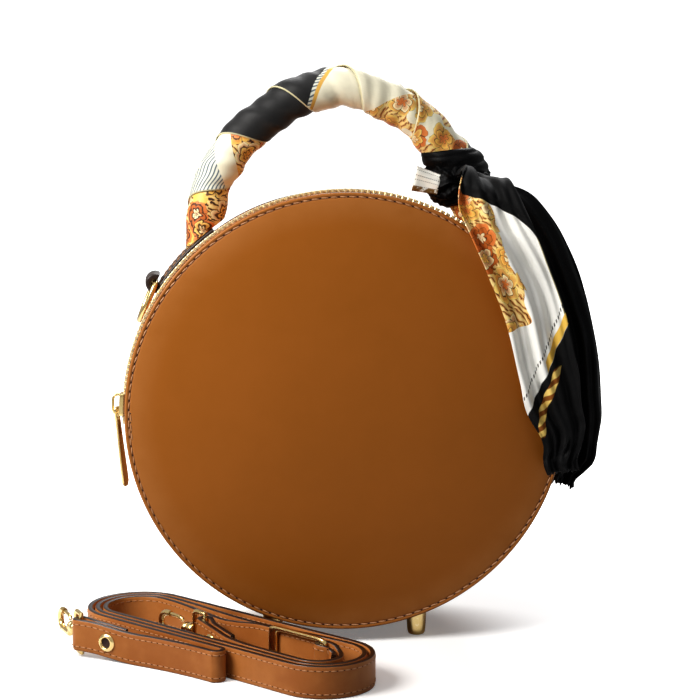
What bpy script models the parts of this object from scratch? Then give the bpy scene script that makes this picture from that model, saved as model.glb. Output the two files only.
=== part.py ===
"""Round leather handbag with a zip over its top, a scarf-wrapped handle and a detached shoulder strap.

Metres, +Z up. The bag stands on four feet on z = 0 and its front faces -Y. Angles on the bag's
round body are counted from its top, towards +X.
"""
import math

import bmesh
import bpy
from mathutils import Matrix, Vector

PART_NAME = "leather_handbag"

# Body
DISC_RADIUS = 0.105
BODY_DEPTH = 0.080
BACK_TAPER_SHARE = 0.048
FLOOR_CLEARANCE = 0.0065
PANEL_THICKNESS = 0.0018
PANEL_CROWN = 0.0042
GUSSET_THICKNESS = 0.0016
GUSSET_SETBACK = 0.0007
FLANGE_WIDTH = 0.009
CLEARANCE = 0.0003
MERGE = 0.000001
CUT_OVERRUN = 0.003
GUSSET_JOIN_ANGLE = math.radians(96)
BODY_STEPS = 44

# Linings, base board and pocket
LINING_THICKNESS = 0.0008
BOARD_THICKNESS = 0.0015
BOARD_HALF_ANGLE = math.radians(50)
BOARD_HALF_WIDTH = 0.034
POCKET_WIDTH = 0.110
POCKET_HEIGHT = 0.070
POCKET_DEPTH = 0.0065
POCKET_WALL = 0.0009

# Zip
ZIP_SETBACK = 0.012
ZIP_WINDOW = 0.0124
TAPE_THICKNESS = 0.0006
TAPE_TUCK = 0.0017
TAPE_SLOPE = 0.0028
TAPE_SPLIT = 0.0008
TOOTH_PITCH = 0.0028
TOOTH_HEIGHT = 0.0020
TOOTH_REACH = 0.0010
TOOTH_GAP = 0.00028
CHAIN_HALF_WIDTH = 0.0028
CHAIN_PROUD = 0.0018
ZIP_START_ANGLE = math.radians(-92.5)
ZIP_END_ANGLE = math.radians(90)
STOP_LENGTH = 0.0035

# Zip slider and pull
SLIDER_LENGTH = 0.0105
SLIDER_WALL = 0.0009
SLIDER_CLEARANCE = 0.0004
SLIDER_REST_ANGLE = math.radians(-87.5)
BRIDGE_WIRE = 0.0007
BRIDGE_RISE = 0.00345
BRIDGE_SQUARENESS = 0.5
BRIDGE_LENGTH = 0.0090
PULL_LENGTH = 0.038
PULL_TOP_WIDTH = 0.0054
PULL_END_WIDTH = 0.0076
PULL_THICKNESS = 0.0012
PULL_HEIGHT = 0.0014
PULL_DROP = 0.0020
PULL_WINDOW_WIDTH = 0.0030
PULL_WINDOW_LENGTH = 0.0040
PULL_TILT = math.radians(6.0)

# Handle, its tabs and D-rings
HANDLE_HALF_SPAN = 0.068
HANDLE_BASE_HEIGHT = 0.085
HANDLE_RISE = 0.068
HANDLE_FOOT_DROP = 0.012
HANDLE_RADIUS = 0.0065
HANDLE_FOOT_RADIUS = 0.0042
HANDLE_FULLNESS = 1.7
HANDLE_RINGS = 24
HANDLE_SIDES = 12
TAB_THICKNESS = 0.0030
TAB_WIDTH = 0.016
TAB_INNER_ANGLE = math.radians(36)
TAB_OUTER_ANGLE = math.radians(56.4)
TAB_EYE_TURN = math.radians(265)
RING_WIRE = 0.0014
RING_CLEARANCE = 0.0004
RING_HALF_WIDTH = 0.0100
RING_LENGTH = 0.0200
RING_CORNER = 0.0020
RING_LEAN = math.radians(23)

# Feet
FOOT_OFFSET = 0.035
FOOT_INSET = 0.013
FOOT_TOP_RADIUS = 0.0054
FOOT_BASE_RADIUS = 0.0043
FOOT_ROUNDING = 0.0010

# Scarf
WRAP_THICKNESS = 0.0024
WRAP_FOOT_THICKNESS = 0.0012
WRAP_RIDGE = 0.0014
WRAP_PITCH = 0.034
WRAP_CLEARANCE = 0.0004
WRAP_RINGS = 46
WRAP_START_SHARE = 0.010
KNOT_SHARE = 0.85
KNOT_BORE_SHARE = 0.16
KNOT_INSET = 0.005
KNOT_RADII = (0.0175, 0.0155, 0.0135)
KNOT_LOBE = 0.0012
CLOTH_THICKNESS = 0.0022
FOLD_DEPTH = 0.0011
PALE_TAIL_WIDTH = 0.027
DARK_TAIL_WIDTH = 0.020
TAIL_FRONT_Y = -0.0480
TAIL_ROOT_Y = -0.0130
DARK_ROOT_Y = -0.0090
DARK_TAIL_Y = -0.0165
TAIL_TURN_SHARE = 0.55
TAIL_ROOT_SHARE = 0.72
TAIL_WIDE_FROM_SHARE = 0.35
TAIL_GATHER_FROM_SHARE = 0.75
TAIL_GATHER_SHARE = 0.45

# Shoulder strap, coiled on its edge
STRAP_WIDTH = 0.015
STRAP_THICKNESS = 0.0026
STRAP_GAP = 0.0006
HANK_CENTRE = (-0.0580, -0.0603)
HANK_HEADING = math.radians(-47)
HANK_HALF_LENGTH = 0.060
HANK_RADIUS = 0.0255
HANK_PITCH = 0.0037
HANK_SPREAD = 0.0040
HANK_SPREAD_START = 0.6
HANK_RUN_SHARE = 0.30
HAIRPIN_SHARE = 0.33
HAIRPIN_RADIUS = 0.0031
FREE_RUN_LENGTH = 0.074
FREE_RUN_SPLAY = 0.014
SHORT_SPLAY = 0.007
SHORT_SPLAY_LENGTH = 0.050
FOLD_LENGTH = 0.024
BUCKLE_FOLD_LENGTH = 0.015
FOLD_PINCH_LENGTH = 0.009
LIFT_LENGTH = 0.030
RIVET_DISTANCE = 0.012
RIVET_SHANK = 0.0015
RIVET_HEAD = 0.0044
RIVET_BACK = 0.0032
RIVET_DOME = 0.0011
STRAP_HOLE_RADIUS = 0.0015
STRAP_HOLE_SPACING = 0.035
STRAP_HOLES = 5

# Frame buckle of the strap
BUCKLE_LENGTH = 0.036
BUCKLE_HEIGHT = 0.0200
BUCKLE_RAIL = 0.0020
BUCKLE_DEPTH = 0.0022
BUCKLE_PLATE = 0.0048
BUCKLE_BAR = 0.0022
BUCKLE_PEG = 0.0011

# Snap hooks of the strap
EYE_WIRE = 0.0012
EYE_REACH = 0.0075
BOSS_RADIUS = 0.0030
BOSS_LENGTH = 0.0040
COLLAR_RADIUS = 0.0028
COLLAR_LENGTH = 0.0030
HOOK_WIRE = 0.0015
HOOK_LENGTH = 0.0170
HOOK_HALF_WIDTH = 0.0045
GATE_THICKNESS = 0.0018
HOOK_A_SWING = math.radians(-43)
HOOK_B_SWING = math.radians(12)

ZC = DISC_RADIUS + FLOOR_CLEARANCE
GUSSET_RADIUS = DISC_RADIUS - GUSSET_SETBACK
FRONT_Y = -BODY_DEPTH / 2
ZIP_Y = FRONT_Y + ZIP_SETBACK
SEAM_Y = BODY_DEPTH / 2 - PANEL_THICKNESS - CLEARANCE
CHAIN_TOP = DISC_RADIUS + CHAIN_PROUD
CHAIN_BOTTOM = CHAIN_TOP - TOOTH_HEIGHT
SLIDER_TOP = CHAIN_TOP + SLIDER_CLEARANCE + SLIDER_WALL
TAB_SEAT = GUSSET_RADIUS * (1 - BACK_TAPER_SHARE * (BODY_DEPTH - TAB_WIDTH) / (2 * BODY_DEPTH))
TAB_TOP = TAB_SEAT + CLEARANCE + TAB_THICKNESS
TAB_MID = TAB_SEAT + CLEARANCE + TAB_THICKNESS / 2
EYE_RADIUS = RING_WIRE + RING_CLEARANCE + TAB_THICKNESS / 2
RING_PIVOT_RADIUS = TAB_MID + EYE_RADIUS


def clear_scene():
    for obj in list(bpy.data.objects):
        bpy.data.objects.remove(obj, do_unlink=True)


def new_collection(name):
    group = bpy.data.collections.new(name)
    bpy.context.scene.collection.children.link(group)
    return group


def new_material(name, colour, roughness, metallic=0.0):
    mat = bpy.data.materials.new(name)
    mat.use_nodes = True
    shader = mat.node_tree.nodes["Principled BSDF"]
    shader.inputs["Base Color"].default_value = (*colour, 1.0)
    shader.inputs["Roughness"].default_value = roughness
    shader.inputs["Metallic"].default_value = metallic
    mat.diffuse_color = (*colour, 1.0)
    return mat


clear_scene()
PARTS = new_collection(PART_NAME)
CUTTERS = new_collection(PART_NAME + "_cutters")
ROOT = bpy.data.objects.new("handbag_frame", None)
PARTS.objects.link(ROOT)

LEATHER = new_material("tan_leather", (0.30, 0.115, 0.030), 0.45)
LINING = new_material("beige_lining", (0.52, 0.42, 0.30), 0.85)
BOARD = new_material("grey_board", (0.20, 0.19, 0.18), 0.9)
TAPE = new_material("tan_zip_tape", (0.36, 0.19, 0.08), 0.8)
GOLD = new_material("pale_gold", (0.80, 0.62, 0.30), 0.22, 1.0)
PALE_SILK = new_material("ivory_silk", (0.78, 0.68, 0.45), 0.4)
DARK_SILK = new_material("black_silk", (0.012, 0.011, 0.012), 0.35)


def place_mesh(name, mesh, mat, pivot=(0, 0, 0)):
    """Add a mesh given in the handbag's frame, with its object's origin at the pivot."""
    mesh.transform(Matrix.Translation(-Vector(pivot)))
    if not mesh.materials:
        mesh.materials.append(mat)
    obj = bpy.data.objects.new(name, mesh)
    PARTS.objects.link(obj)
    obj.parent = ROOT
    obj.location = pivot
    return obj


def finish_mesh(bm, name):
    bmesh.ops.recalc_face_normals(bm, faces=bm.faces)
    mesh = bpy.data.meshes.new(name)
    bm.to_mesh(mesh)
    bm.free()
    return mesh


def as_cutter(obj):
    PARTS.objects.unlink(obj)
    CUTTERS.objects.link(obj)
    obj.hide_render = True
    obj.display_type = "WIRE"
    return obj


def combine(obj, tool, operation):
    modifier = obj.modifiers.new(operation.lower(), "BOOLEAN")
    modifier.operation = operation
    modifier.object = tool


def tapered(radius, y):
    """Radius on the body, which is full at the front and a little smaller towards the back."""
    return radius * (1 - BACK_TAPER_SHARE * (y - FRONT_Y) / BODY_DEPTH)


def ring_at(angle, outline, straight=False):
    """Points of a (y, radius) outline turned to an angle on the round body."""
    points = [(y, r if straight else tapered(r, y)) for y, r in outline]
    return [Vector((r * math.sin(angle), y, ZC + r * math.cos(angle))) for y, r in points]


def turned(name, outline, start=0.0, sweep=2 * math.pi, steps=BODY_STEPS, straight=False):
    """Turn a closed (y, radius) outline about the body's axis, all round or along an arc."""
    whole = sweep >= 2 * math.pi
    bm = bmesh.new()
    verts = [bm.verts.new(point) for point in ring_at(start, outline, straight)]
    edges = [bm.edges.new((a, b)) for a, b in zip(verts, verts[1:] + verts[:1])]
    bmesh.ops.spin(bm, geom=verts + edges, cent=(0, 0, ZC), axis=(0, 1, 0), angle=sweep,
                   steps=steps, use_merge=whole)
    if not whole:
        bmesh.ops.edgeloop_fill(bm, edges=[edge for edge in bm.edges if edge.is_boundary])
    return finish_mesh(bm, name)


def turned_disc(name, outline, steps=BODY_STEPS):
    """Turn an open (y, radius) outline that starts and ends on the body's axis."""
    bm = bmesh.new()
    verts = [bm.verts.new(point) for point in ring_at(0.0, outline)]
    edges = [bm.edges.new(pair) for pair in zip(verts, verts[1:])]
    bmesh.ops.spin(bm, geom=verts + edges, cent=(0, 0, ZC), axis=(0, 1, 0),
                   angle=2 * math.pi, steps=steps, use_merge=True)
    bmesh.ops.remove_doubles(bm, verts=bm.verts, dist=MERGE)
    return finish_mesh(bm, name)


def lathe(name, outline, steps):
    """Turn an open (radius, z) outline that starts and ends on the Z axis."""
    bm = bmesh.new()
    verts = [bm.verts.new((r, 0, z)) for r, z in outline]
    edges = [bm.edges.new(pair) for pair in zip(verts, verts[1:])]
    bmesh.ops.spin(bm, geom=verts + edges, cent=(0, 0, 0), axis=(0, 0, 1),
                   angle=2 * math.pi, steps=steps, use_merge=True)
    bmesh.ops.remove_doubles(bm, verts=bm.verts, dist=MERGE)
    return finish_mesh(bm, name)


def loft(name, rings):
    """Skin a list of closed rings with equal point counts and cap both ends."""
    bm = bmesh.new()
    rows = [[bm.verts.new(point) for point in ring] for ring in rings]
    for row, following in zip(rows, rows[1:]):
        for i in range(len(row)):
            j = (i + 1) % len(row)
            bm.faces.new((row[i], row[j], following[j], following[i]))
    bm.faces.new(rows[0])
    bm.faces.new(rows[-1])
    return finish_mesh(bm, name)


def box(name, low, high):
    """A box between two corners."""
    bm = bmesh.new()
    bmesh.ops.create_cube(bm, size=1.0)
    size = [b - a for a, b in zip(low, high)]
    middle = [(a + b) / 2 for a, b in zip(low, high)]
    bmesh.ops.scale(bm, vec=size, verts=bm.verts)
    bmesh.ops.translate(bm, vec=middle, verts=bm.verts)
    return finish_mesh(bm, name)


def ribbon(name, path, across, thickness, mat, pivot=(0, 0, 0)):
    """A flat strip along a path, as an open surface with an even Solidify."""
    bm = bmesh.new()
    rows = [[bm.verts.new(Vector(p) - Vector(pivot)), bm.verts.new(Vector(p) + across - Vector(pivot))]
            for p in path]
    for row, following in zip(rows, rows[1:]):
        bm.faces.new((row[0], row[1], following[1], following[0]))
    mesh = bpy.data.meshes.new(name)
    bm.to_mesh(mesh)
    bm.free()
    obj = place_mesh(name, mesh, mat)
    obj.location = pivot
    skin = obj.modifiers.new("leather", "SOLIDIFY")
    skin.thickness = thickness
    skin.offset = 0.0
    skin.use_even_offset = True
    return obj


def wire_mesh(name, points, radius, closed=False, resolution=1):
    """A round wire along a path, as a mesh with welded caps."""
    curve = bpy.data.curves.new(name, "CURVE")
    curve.dimensions = "3D"
    curve.bevel_depth = radius
    curve.bevel_resolution = resolution
    curve.use_fill_caps = not closed
    spline = curve.splines.new("POLY")
    spline.points.add(len(points) - 1)
    for target, point in zip(spline.points, points):
        target.co = (*point, 1.0)
    spline.use_cyclic_u = closed
    holder = bpy.data.objects.new(name, curve)
    CUTTERS.objects.link(holder)
    bpy.context.view_layer.update()
    graph = bpy.context.evaluated_depsgraph_get()
    mesh = bpy.data.meshes.new_from_object(holder.evaluated_get(graph))
    bpy.data.objects.remove(holder, do_unlink=True)
    bm = bmesh.new()
    bm.from_mesh(mesh)
    bmesh.ops.remove_doubles(bm, verts=bm.verts, dist=MERGE)
    return finish_mesh(bm, name)


def smooth_path(points, per_span):
    """A smooth run of points through the given ones, end points included."""
    result = []
    for i in range(len(points) - 1):
        p1, p2 = Vector(points[i]), Vector(points[i + 1])
        p0 = Vector(points[i - 1]) if i else 2 * p1 - p2
        p3 = Vector(points[i + 2]) if i + 2 < len(points) else 2 * p2 - p1
        for step in range(per_span):
            t = step / per_span
            result.append(0.5 * (2 * p1 + (p2 - p0) * t + (2 * p0 - 5 * p1 + 4 * p2 - p3) * t * t
                                 + (3 * p1 - p0 - 3 * p2 + p3) * t ** 3))
    result.append(Vector(points[-1]))
    return result


def blend(value, low, high):
    """0 below low, 1 above high, eased between."""
    t = min(max((value - low) / (high - low), 0.0), 1.0)
    return t * t * (3 - 2 * t)


def build_panels():
    """Front and back discs, gently domed, with their linings."""
    rim_share = 0.93
    for side, sign in (("front", -1), ("back", 1)):
        face = sign * BODY_DEPTH / 2

        def skin(offset, radius, rings=5):
            shares = [i / (rings - 1) for i in range(rings)]
            return [(face + sign * (PANEL_CROWN * (1 - share ** 2) - offset), radius * share)
                    for share in shares]

        outer = skin(0.0, DISC_RADIUS * rim_share) + [(face, DISC_RADIUS)]
        inner = [(face - sign * PANEL_THICKNESS, DISC_RADIUS)] + skin(PANEL_THICKNESS,
                                                                      DISC_RADIUS * rim_share)[::-1]
        place_mesh(side + "_panel", turned_disc(side + "_panel", outer + inner), LEATHER)
        reach = GUSSET_RADIUS - FLANGE_WIDTH - CLEARANCE
        front = skin(PANEL_THICKNESS + CLEARANCE, reach, 4)
        back = skin(PANEL_THICKNESS + CLEARANCE + LINING_THICKNESS, reach, 4)[::-1]
        place_mesh(side + "_lining", turned_disc(side + "_lining", front + back, 32), LINING)


def gusset_outline(low_y, high_y, low_flange, high_flange):
    """Outline of a gusset strip in (y, radius), with inward flanges where asked."""
    outer, inner = GUSSET_RADIUS, GUSSET_RADIUS - GUSSET_THICKNESS
    flange = GUSSET_RADIUS - FLANGE_WIDTH
    points = [(low_y, outer), (high_y, outer)]
    if high_flange:
        points += [(high_y, flange), (high_y - GUSSET_THICKNESS, flange),
                   (high_y - GUSSET_THICKNESS, inner)]
    else:
        points += [(high_y, inner)]
    if low_flange:
        points += [(low_y + GUSSET_THICKNESS, inner), (low_y + GUSSET_THICKNESS, flange),
                   (low_y, flange)]
    else:
        points += [(low_y, inner)]
    return points


def build_gusset():
    """Lower gusset, and above it a narrow front strip and a wide rear strip beside the zip."""
    gap_angle = CLEARANCE / GUSSET_RADIUS
    lower = turned("lower_gusset", gusset_outline(-SEAM_Y, SEAM_Y, True, True), GUSSET_JOIN_ANGLE,
                   2 * math.pi - 2 * GUSSET_JOIN_ANGLE, BODY_STEPS // 2)
    place_mesh("lower_gusset", lower, LEATHER)
    start = -GUSSET_JOIN_ANGLE + gap_angle
    sweep = -2 * start
    strips = {
        "front_gusset_strip": gusset_outline(-SEAM_Y, ZIP_Y - ZIP_WINDOW / 2, True, False),
        "rear_gusset_strip": gusset_outline(ZIP_Y + ZIP_WINDOW / 2, SEAM_Y, False, True),
    }
    for name, outline in strips.items():
        place_mesh(name, turned(name, outline, start, sweep), LEATHER)


def build_gusset_lining():
    """Lining all round inside the gusset, slit open under the zip."""
    outer = GUSSET_RADIUS - GUSSET_THICKNESS - BOARD_THICKNESS - 2 * CLEARANCE
    inner = outer - LINING_THICKNESS
    edge = SEAM_Y - GUSSET_THICKNESS - CLEARANCE
    outline = [(-edge, outer), (edge, outer), (edge, inner), (-edge, inner)]
    lining = place_mesh("gusset_lining", turned("gusset_lining", outline, steps=36), LINING)
    low = (-DISC_RADIUS, -edge - CUT_OVERRUN, ZC - inner * math.sin(GUSSET_JOIN_ANGLE - math.pi / 2))
    high = (DISC_RADIUS, ZIP_Y + ZIP_WINDOW, ZC + DISC_RADIUS)
    slit = as_cutter(place_mesh("lining_slit", box("lining_slit", low, high), LINING))
    combine(lining, slit, "DIFFERENCE")


def build_base_board():
    """Stiff curved board between the gusset and its lining."""
    outer = GUSSET_RADIUS - GUSSET_THICKNESS - CLEARANCE
    inner = outer - BOARD_THICKNESS
    width = BOARD_HALF_WIDTH
    outline = [(-width, outer), (width, outer), (width, inner), (-width, inner)]
    mesh = turned("base_board", outline, math.pi - BOARD_HALF_ANGLE, 2 * BOARD_HALF_ANGLE, 14)
    place_mesh("base_board", mesh, BOARD)


def build_pocket():
    """Open-topped slip pocket on the back lining."""
    half, low = POCKET_WIDTH / 2, ZC - POCKET_HEIGHT / 2
    reach = (GUSSET_RADIUS - FLANGE_WIDTH - CLEARANCE) * (1 - BACK_TAPER_SHARE)
    corner_share = math.hypot(half, POCKET_HEIGHT / 2) / reach
    dome = PANEL_CROWN * (1 - corner_share ** 2)
    back = BODY_DEPTH / 2 + dome - PANEL_THICKNESS - LINING_THICKNESS - 2 * CLEARANCE
    front = back - POCKET_DEPTH
    pocket = place_mesh("inner_pocket", box("inner_pocket", (-half, front, low),
                                            (half, back, low + POCKET_HEIGHT)), LINING)
    wall = POCKET_WALL
    hollow = box("pocket_hollow", (-half + wall, front + wall, low + wall),
                 (half - wall, back + CUT_OVERRUN, low + POCKET_HEIGHT + CUT_OVERRUN))
    combine(pocket, as_cutter(place_mesh("pocket_hollow", hollow, LINING)), "DIFFERENCE")


def build_zip_tapes():
    """Two woven tapes that rise from under the gusset strips to the teeth."""
    low = GUSSET_RADIUS - GUSSET_THICKNESS - CLEARANCE - TAPE_THICKNESS
    high = CHAIN_BOTTOM - CLEARANCE - TAPE_THICKNESS
    rise_start = ZIP_WINDOW / 2 - TAPE_THICKNESS / 2
    profile = [(ZIP_WINDOW / 2 + TAPE_TUCK, low), (rise_start, low),
               (rise_start - TAPE_SLOPE, high), (TAPE_SPLIT / 2, high)]
    for side, sign in (("front", -1), ("rear", 1)):
        under = [(ZIP_Y + sign * across, r) for across, r in profile]
        over = [(y, r + TAPE_THICKNESS) for y, r in reversed(under)]
        start = -GUSSET_JOIN_ANGLE + CLEARANCE / GUSSET_RADIUS
        mesh = turned("zip_tape_" + side, under + over, start, -2 * start, BODY_STEPS)
        place_mesh("zip_tape_" + side, mesh, TAPE)


def build_zip_teeth():
    """Two chains of teeth that mesh across the zip's middle line, each on its bead."""
    span = ZIP_END_ANGLE - ZIP_START_ANGLE
    count = round(span * CHAIN_TOP / TOOTH_PITCH)
    for side, sign in (("front", -1), ("rear", 1)):
        rings = []
        for step in range(2 * count + 1):
            angle = ZIP_START_ANGLE + span * step / (2 * count)
            wave = TOOTH_REACH if step % 2 else -TOOTH_REACH
            reach = ZIP_Y + wave + sign * TOOTH_GAP
            edge = ZIP_Y + sign * CHAIN_HALF_WIDTH
            rings.append(ring_at(angle, [(edge, CHAIN_BOTTOM), (edge, CHAIN_TOP),
                                         (reach, CHAIN_TOP), (reach, CHAIN_BOTTOM)]))
        place_mesh("zip_teeth_" + side, loft("zip_teeth_" + side, rings), GOLD)


def build_zip_stop():
    """Metal stop that closes the far end of the zip."""
    start = ZIP_END_ANGLE + CLEARANCE / CHAIN_TOP
    edge = CHAIN_HALF_WIDTH
    outline = [(ZIP_Y - edge, CHAIN_BOTTOM), (ZIP_Y - edge, CHAIN_TOP),
               (ZIP_Y + edge, CHAIN_TOP), (ZIP_Y + edge, CHAIN_BOTTOM)]
    place_mesh("zip_end_stop", turned("zip_end_stop", outline, start, STOP_LENGTH / CHAIN_TOP, 2), GOLD)


def at_slider(along, height):
    """Point beside the slider: along the zip and out from the slider's top face."""
    angle = SLIDER_REST_ANGLE
    radial = Vector((math.sin(angle), 0, math.cos(angle)))
    tangent = Vector((math.cos(angle), 0, -math.sin(angle)))
    return Vector((0, ZIP_Y, ZC)) + radial * (tapered(SLIDER_TOP, ZIP_Y) + height) + tangent * along


def build_slider():
    """Slider that straddles both chains, with the arched bridge that carries the pull."""
    channel = CHAIN_HALF_WIDTH + SLIDER_CLEARANCE
    outer = channel + SLIDER_WALL
    skirt, roof = CHAIN_BOTTOM + CLEARANCE, CHAIN_TOP + SLIDER_CLEARANCE
    outline = [(-outer, skirt), (-outer, SLIDER_TOP), (outer, SLIDER_TOP), (outer, skirt),
               (channel, skirt), (channel, roof), (-channel, roof), (-channel, skirt)]
    outline = [(ZIP_Y + y, r) for y, r in outline]
    sweep = SLIDER_LENGTH / SLIDER_TOP
    mesh = turned("zip_slider", outline, SLIDER_REST_ANGLE - sweep / 2, sweep, 2)
    axis = (0, ZIP_Y, ZC)
    slider = place_mesh("zip_slider", mesh, GOLD, axis)
    arch = []
    for step in range(15):
        t = math.pi * step / 14
        along = -math.copysign(abs(math.cos(t)) ** BRIDGE_SQUARENESS, math.cos(t))
        rise = max(math.sin(t), 0.0) ** BRIDGE_SQUARENESS
        arch.append(at_slider(along * BRIDGE_LENGTH / 2, rise * BRIDGE_RISE - BRIDGE_WIRE / 2))
    bridge = place_mesh("slider_bridge", wire_mesh("slider_bridge", arch, BRIDGE_WIRE), GOLD)
    combine(slider, as_cutter(bridge), "UNION")


def build_pull():
    """Flat tapered pull whose cross bar lies under the bridge."""
    pivot = at_slider(-PULL_DROP, PULL_HEIGHT)
    top = PULL_THICKNESS / 2
    neck = top + PULL_WINDOW_LENGTH + PULL_WINDOW_WIDTH / 2
    end = PULL_LENGTH - PULL_END_WIDTH / 4
    half_outline = [(top, PULL_TOP_WIDTH / 2), (-neck, PULL_TOP_WIDTH / 2), (-end, PULL_END_WIDTH / 2),
                    (-PULL_LENGTH, PULL_END_WIDTH / 4)]
    outline = [(z, -y) for z, y in half_outline] + [(z, y) for z, y in reversed(half_outline)]
    depth = PULL_THICKNESS / 2
    rings = [[pivot + Vector((x, y, z)) for z, y in outline] for x in (-depth, depth)]
    pull = place_mesh("zip_pull", loft("zip_pull", rings), GOLD, pivot)
    half = PULL_WINDOW_WIDTH / 2
    window = box("pull_window", (-CUT_OVERRUN, -half, -top - PULL_WINDOW_LENGTH), (CUT_OVERRUN, half, -top))
    cutter = as_cutter(place_mesh("pull_window", window, GOLD))
    cutter.parent = pull
    combine(pull, cutter, "DIFFERENCE")
    pull.rotation_euler = (0, -PULL_TILT, 0)


def handle_point(share):
    """Point of the handle's middle line, from the left foot (0) to the right foot (1)."""
    turn = math.pi * (1 - share)
    power = 2 / HANDLE_FULLNESS
    across = math.copysign(abs(math.cos(turn)) ** power, math.cos(turn))
    lift = max(math.sin(turn), 0.0) ** power
    return Vector((HANDLE_HALF_SPAN * across, 0, ZC + HANDLE_BASE_HEIGHT + HANDLE_RISE * lift))


def handle_core_radius(share):
    return HANDLE_FOOT_RADIUS + (HANDLE_RADIUS - HANDLE_FOOT_RADIUS) * blend(min(share, 1 - share), 0.02, 0.2)


def handle_ring(share, radius_at, sides=HANDLE_SIDES):
    """Ring of points round the handle; radius_at takes the ring's angle."""
    step = 0.004
    ahead, behind = handle_point(min(share + step, 1.0)), handle_point(max(share - step, 0.0))
    tangent = (ahead - behind).normalized()
    normal = Vector((0, 1, 0)).cross(tangent)
    centre = handle_point(share)
    ring = []
    for i in range(sides):
        angle = 2 * math.pi * i / sides
        out = normal * math.cos(angle) + Vector((0, 1, 0)) * math.sin(angle)
        ring.append(centre + out * radius_at(angle))
    return ring


def spaced_shares(low, high, count):
    return [low + (high - low) * i / (count - 1) for i in range(count)]


def build_handle():
    """Stiff rolled core; its feet stand on the end tabs."""
    rings = [handle_ring(share, lambda angle, s=share: handle_core_radius(s))
             for share in spaced_shares(0.0, 1.0, HANDLE_RINGS)]
    drop = Vector((0, 0, -HANDLE_FOOT_DROP))
    rings = [[p + drop for p in rings[0]]] + rings + [[p + drop for p in rings[-1]]]
    handle = place_mesh("handle_core", loft("handle_core", rings), LEATHER)
    edge = TAB_WIDTH
    outline = [(-edge, TAB_TOP + CLEARANCE), (edge, TAB_TOP + CLEARANCE), (edge, DISC_RADIUS / 2),
               (-edge, DISC_RADIUS / 2)]
    shaper = as_cutter(place_mesh("foot_shaper", turned("foot_shaper", outline, steps=120, straight=True),
                                  LEATHER))
    combine(handle, shaper, "DIFFERENCE")


def tab_path(sign):
    """Middle line of a tab: along the gusset, then round the D-ring's bar."""
    path = []
    for step in range(7):
        angle = TAB_INNER_ANGLE + (TAB_OUTER_ANGLE - TAB_INNER_ANGLE) * step / 6
        path.append((angle, TAB_MID))
    points = [Vector((sign * r * math.sin(a), 0, ZC + r * math.cos(a))) for a, r in path]
    eye = ring_pivot(sign)
    radial = Vector((sign * math.sin(TAB_OUTER_ANGLE), 0, math.cos(TAB_OUTER_ANGLE)))
    onward = Vector((sign * math.cos(TAB_OUTER_ANGLE), 0, -math.sin(TAB_OUTER_ANGLE)))
    for step in range(1, 13):
        turn = TAB_EYE_TURN * step / 12
        points.append(eye + (onward * math.sin(turn) - radial * math.cos(turn)) * EYE_RADIUS)
    return points


def ring_pivot(sign):
    return Vector((sign * RING_PIVOT_RADIUS * math.sin(TAB_OUTER_ANGLE), 0,
                   ZC + RING_PIVOT_RADIUS * math.cos(TAB_OUTER_ANGLE)))


def build_tabs_and_rings():
    """Folded end tabs of the handle, and the D-rings that hang in their eyes."""
    for side, sign in (("left", -1), ("right", 1)):
        across = Vector((0, TAB_WIDTH, 0))
        path = [point - across / 2 for point in tab_path(sign)]
        ribbon("handle_tab_" + side, path, across, TAB_THICKNESS, LEATHER)
        pivot = ring_pivot(sign)
        outline = [(-RING_HALF_WIDTH + RING_CORNER, 0), (RING_HALF_WIDTH - RING_CORNER, 0),
                   (RING_HALF_WIDTH, RING_CORNER)]
        bend = RING_LENGTH - RING_HALF_WIDTH
        for step in range(9):
            turn = math.pi * step / 8
            outline.append((RING_HALF_WIDTH * math.cos(turn), bend + RING_HALF_WIDTH * math.sin(turn)))
        outline.append((-RING_HALF_WIDTH, RING_CORNER))
        hang = Vector((sign * math.sin(RING_LEAN), 0, -math.cos(RING_LEAN)))
        points = [pivot + Vector((0, y, 0)) + hang * reach for y, reach in outline]
        mesh = wire_mesh("d_ring_" + side, points, RING_WIRE, closed=True)
        place_mesh("d_ring_" + side, mesh, GOLD, pivot)


def build_feet():
    """Four studs with flat bases, their tops shaped to the round gusset."""
    outline = [(0, 0), (FOOT_BASE_RADIUS - FOOT_ROUNDING, 0), (FOOT_BASE_RADIUS, FOOT_ROUNDING),
               (FOOT_TOP_RADIUS, ZC - GUSSET_RADIUS), (FOOT_TOP_RADIUS, ZC / 3), (0, ZC / 3)]
    edge = BODY_DEPTH
    barrel = [(-edge, GUSSET_RADIUS + CLEARANCE), (edge, GUSSET_RADIUS + CLEARANCE),
              (edge, DISC_RADIUS / 2), (-edge, DISC_RADIUS / 2)]
    shaper = as_cutter(place_mesh("foot_seat", turned("foot_seat", barrel, steps=120), GOLD))
    reach = BODY_DEPTH / 2 - FOOT_INSET
    for end, y in (("front", -reach), ("rear", reach)):
        for side, x in (("left", -FOOT_OFFSET), ("right", FOOT_OFFSET)):
            foot = place_mesh("foot_{}_{}".format(end, side), lathe("foot", outline, 16), GOLD)
            foot.location = (x, y, 0)
            combine(foot, shaper, "DIFFERENCE")


def wrap_outer_radius(share, length, angle):
    """Outer radius of the wound scarf: a band that overlaps its last turn in a raised edge."""
    edge = min(share, 1 - share)
    thickness = WRAP_FOOT_THICKNESS + (WRAP_THICKNESS - WRAP_FOOT_THICKNESS) * blend(edge, 0.03, 0.2)
    turn = (length / WRAP_PITCH + angle / (2 * math.pi)) % 1.0
    ridge = WRAP_RIDGE * blend(edge, 0.0, 0.15)
    return handle_core_radius(share) + WRAP_CLEARANCE + thickness + ridge * (turn - 0.5)


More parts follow.
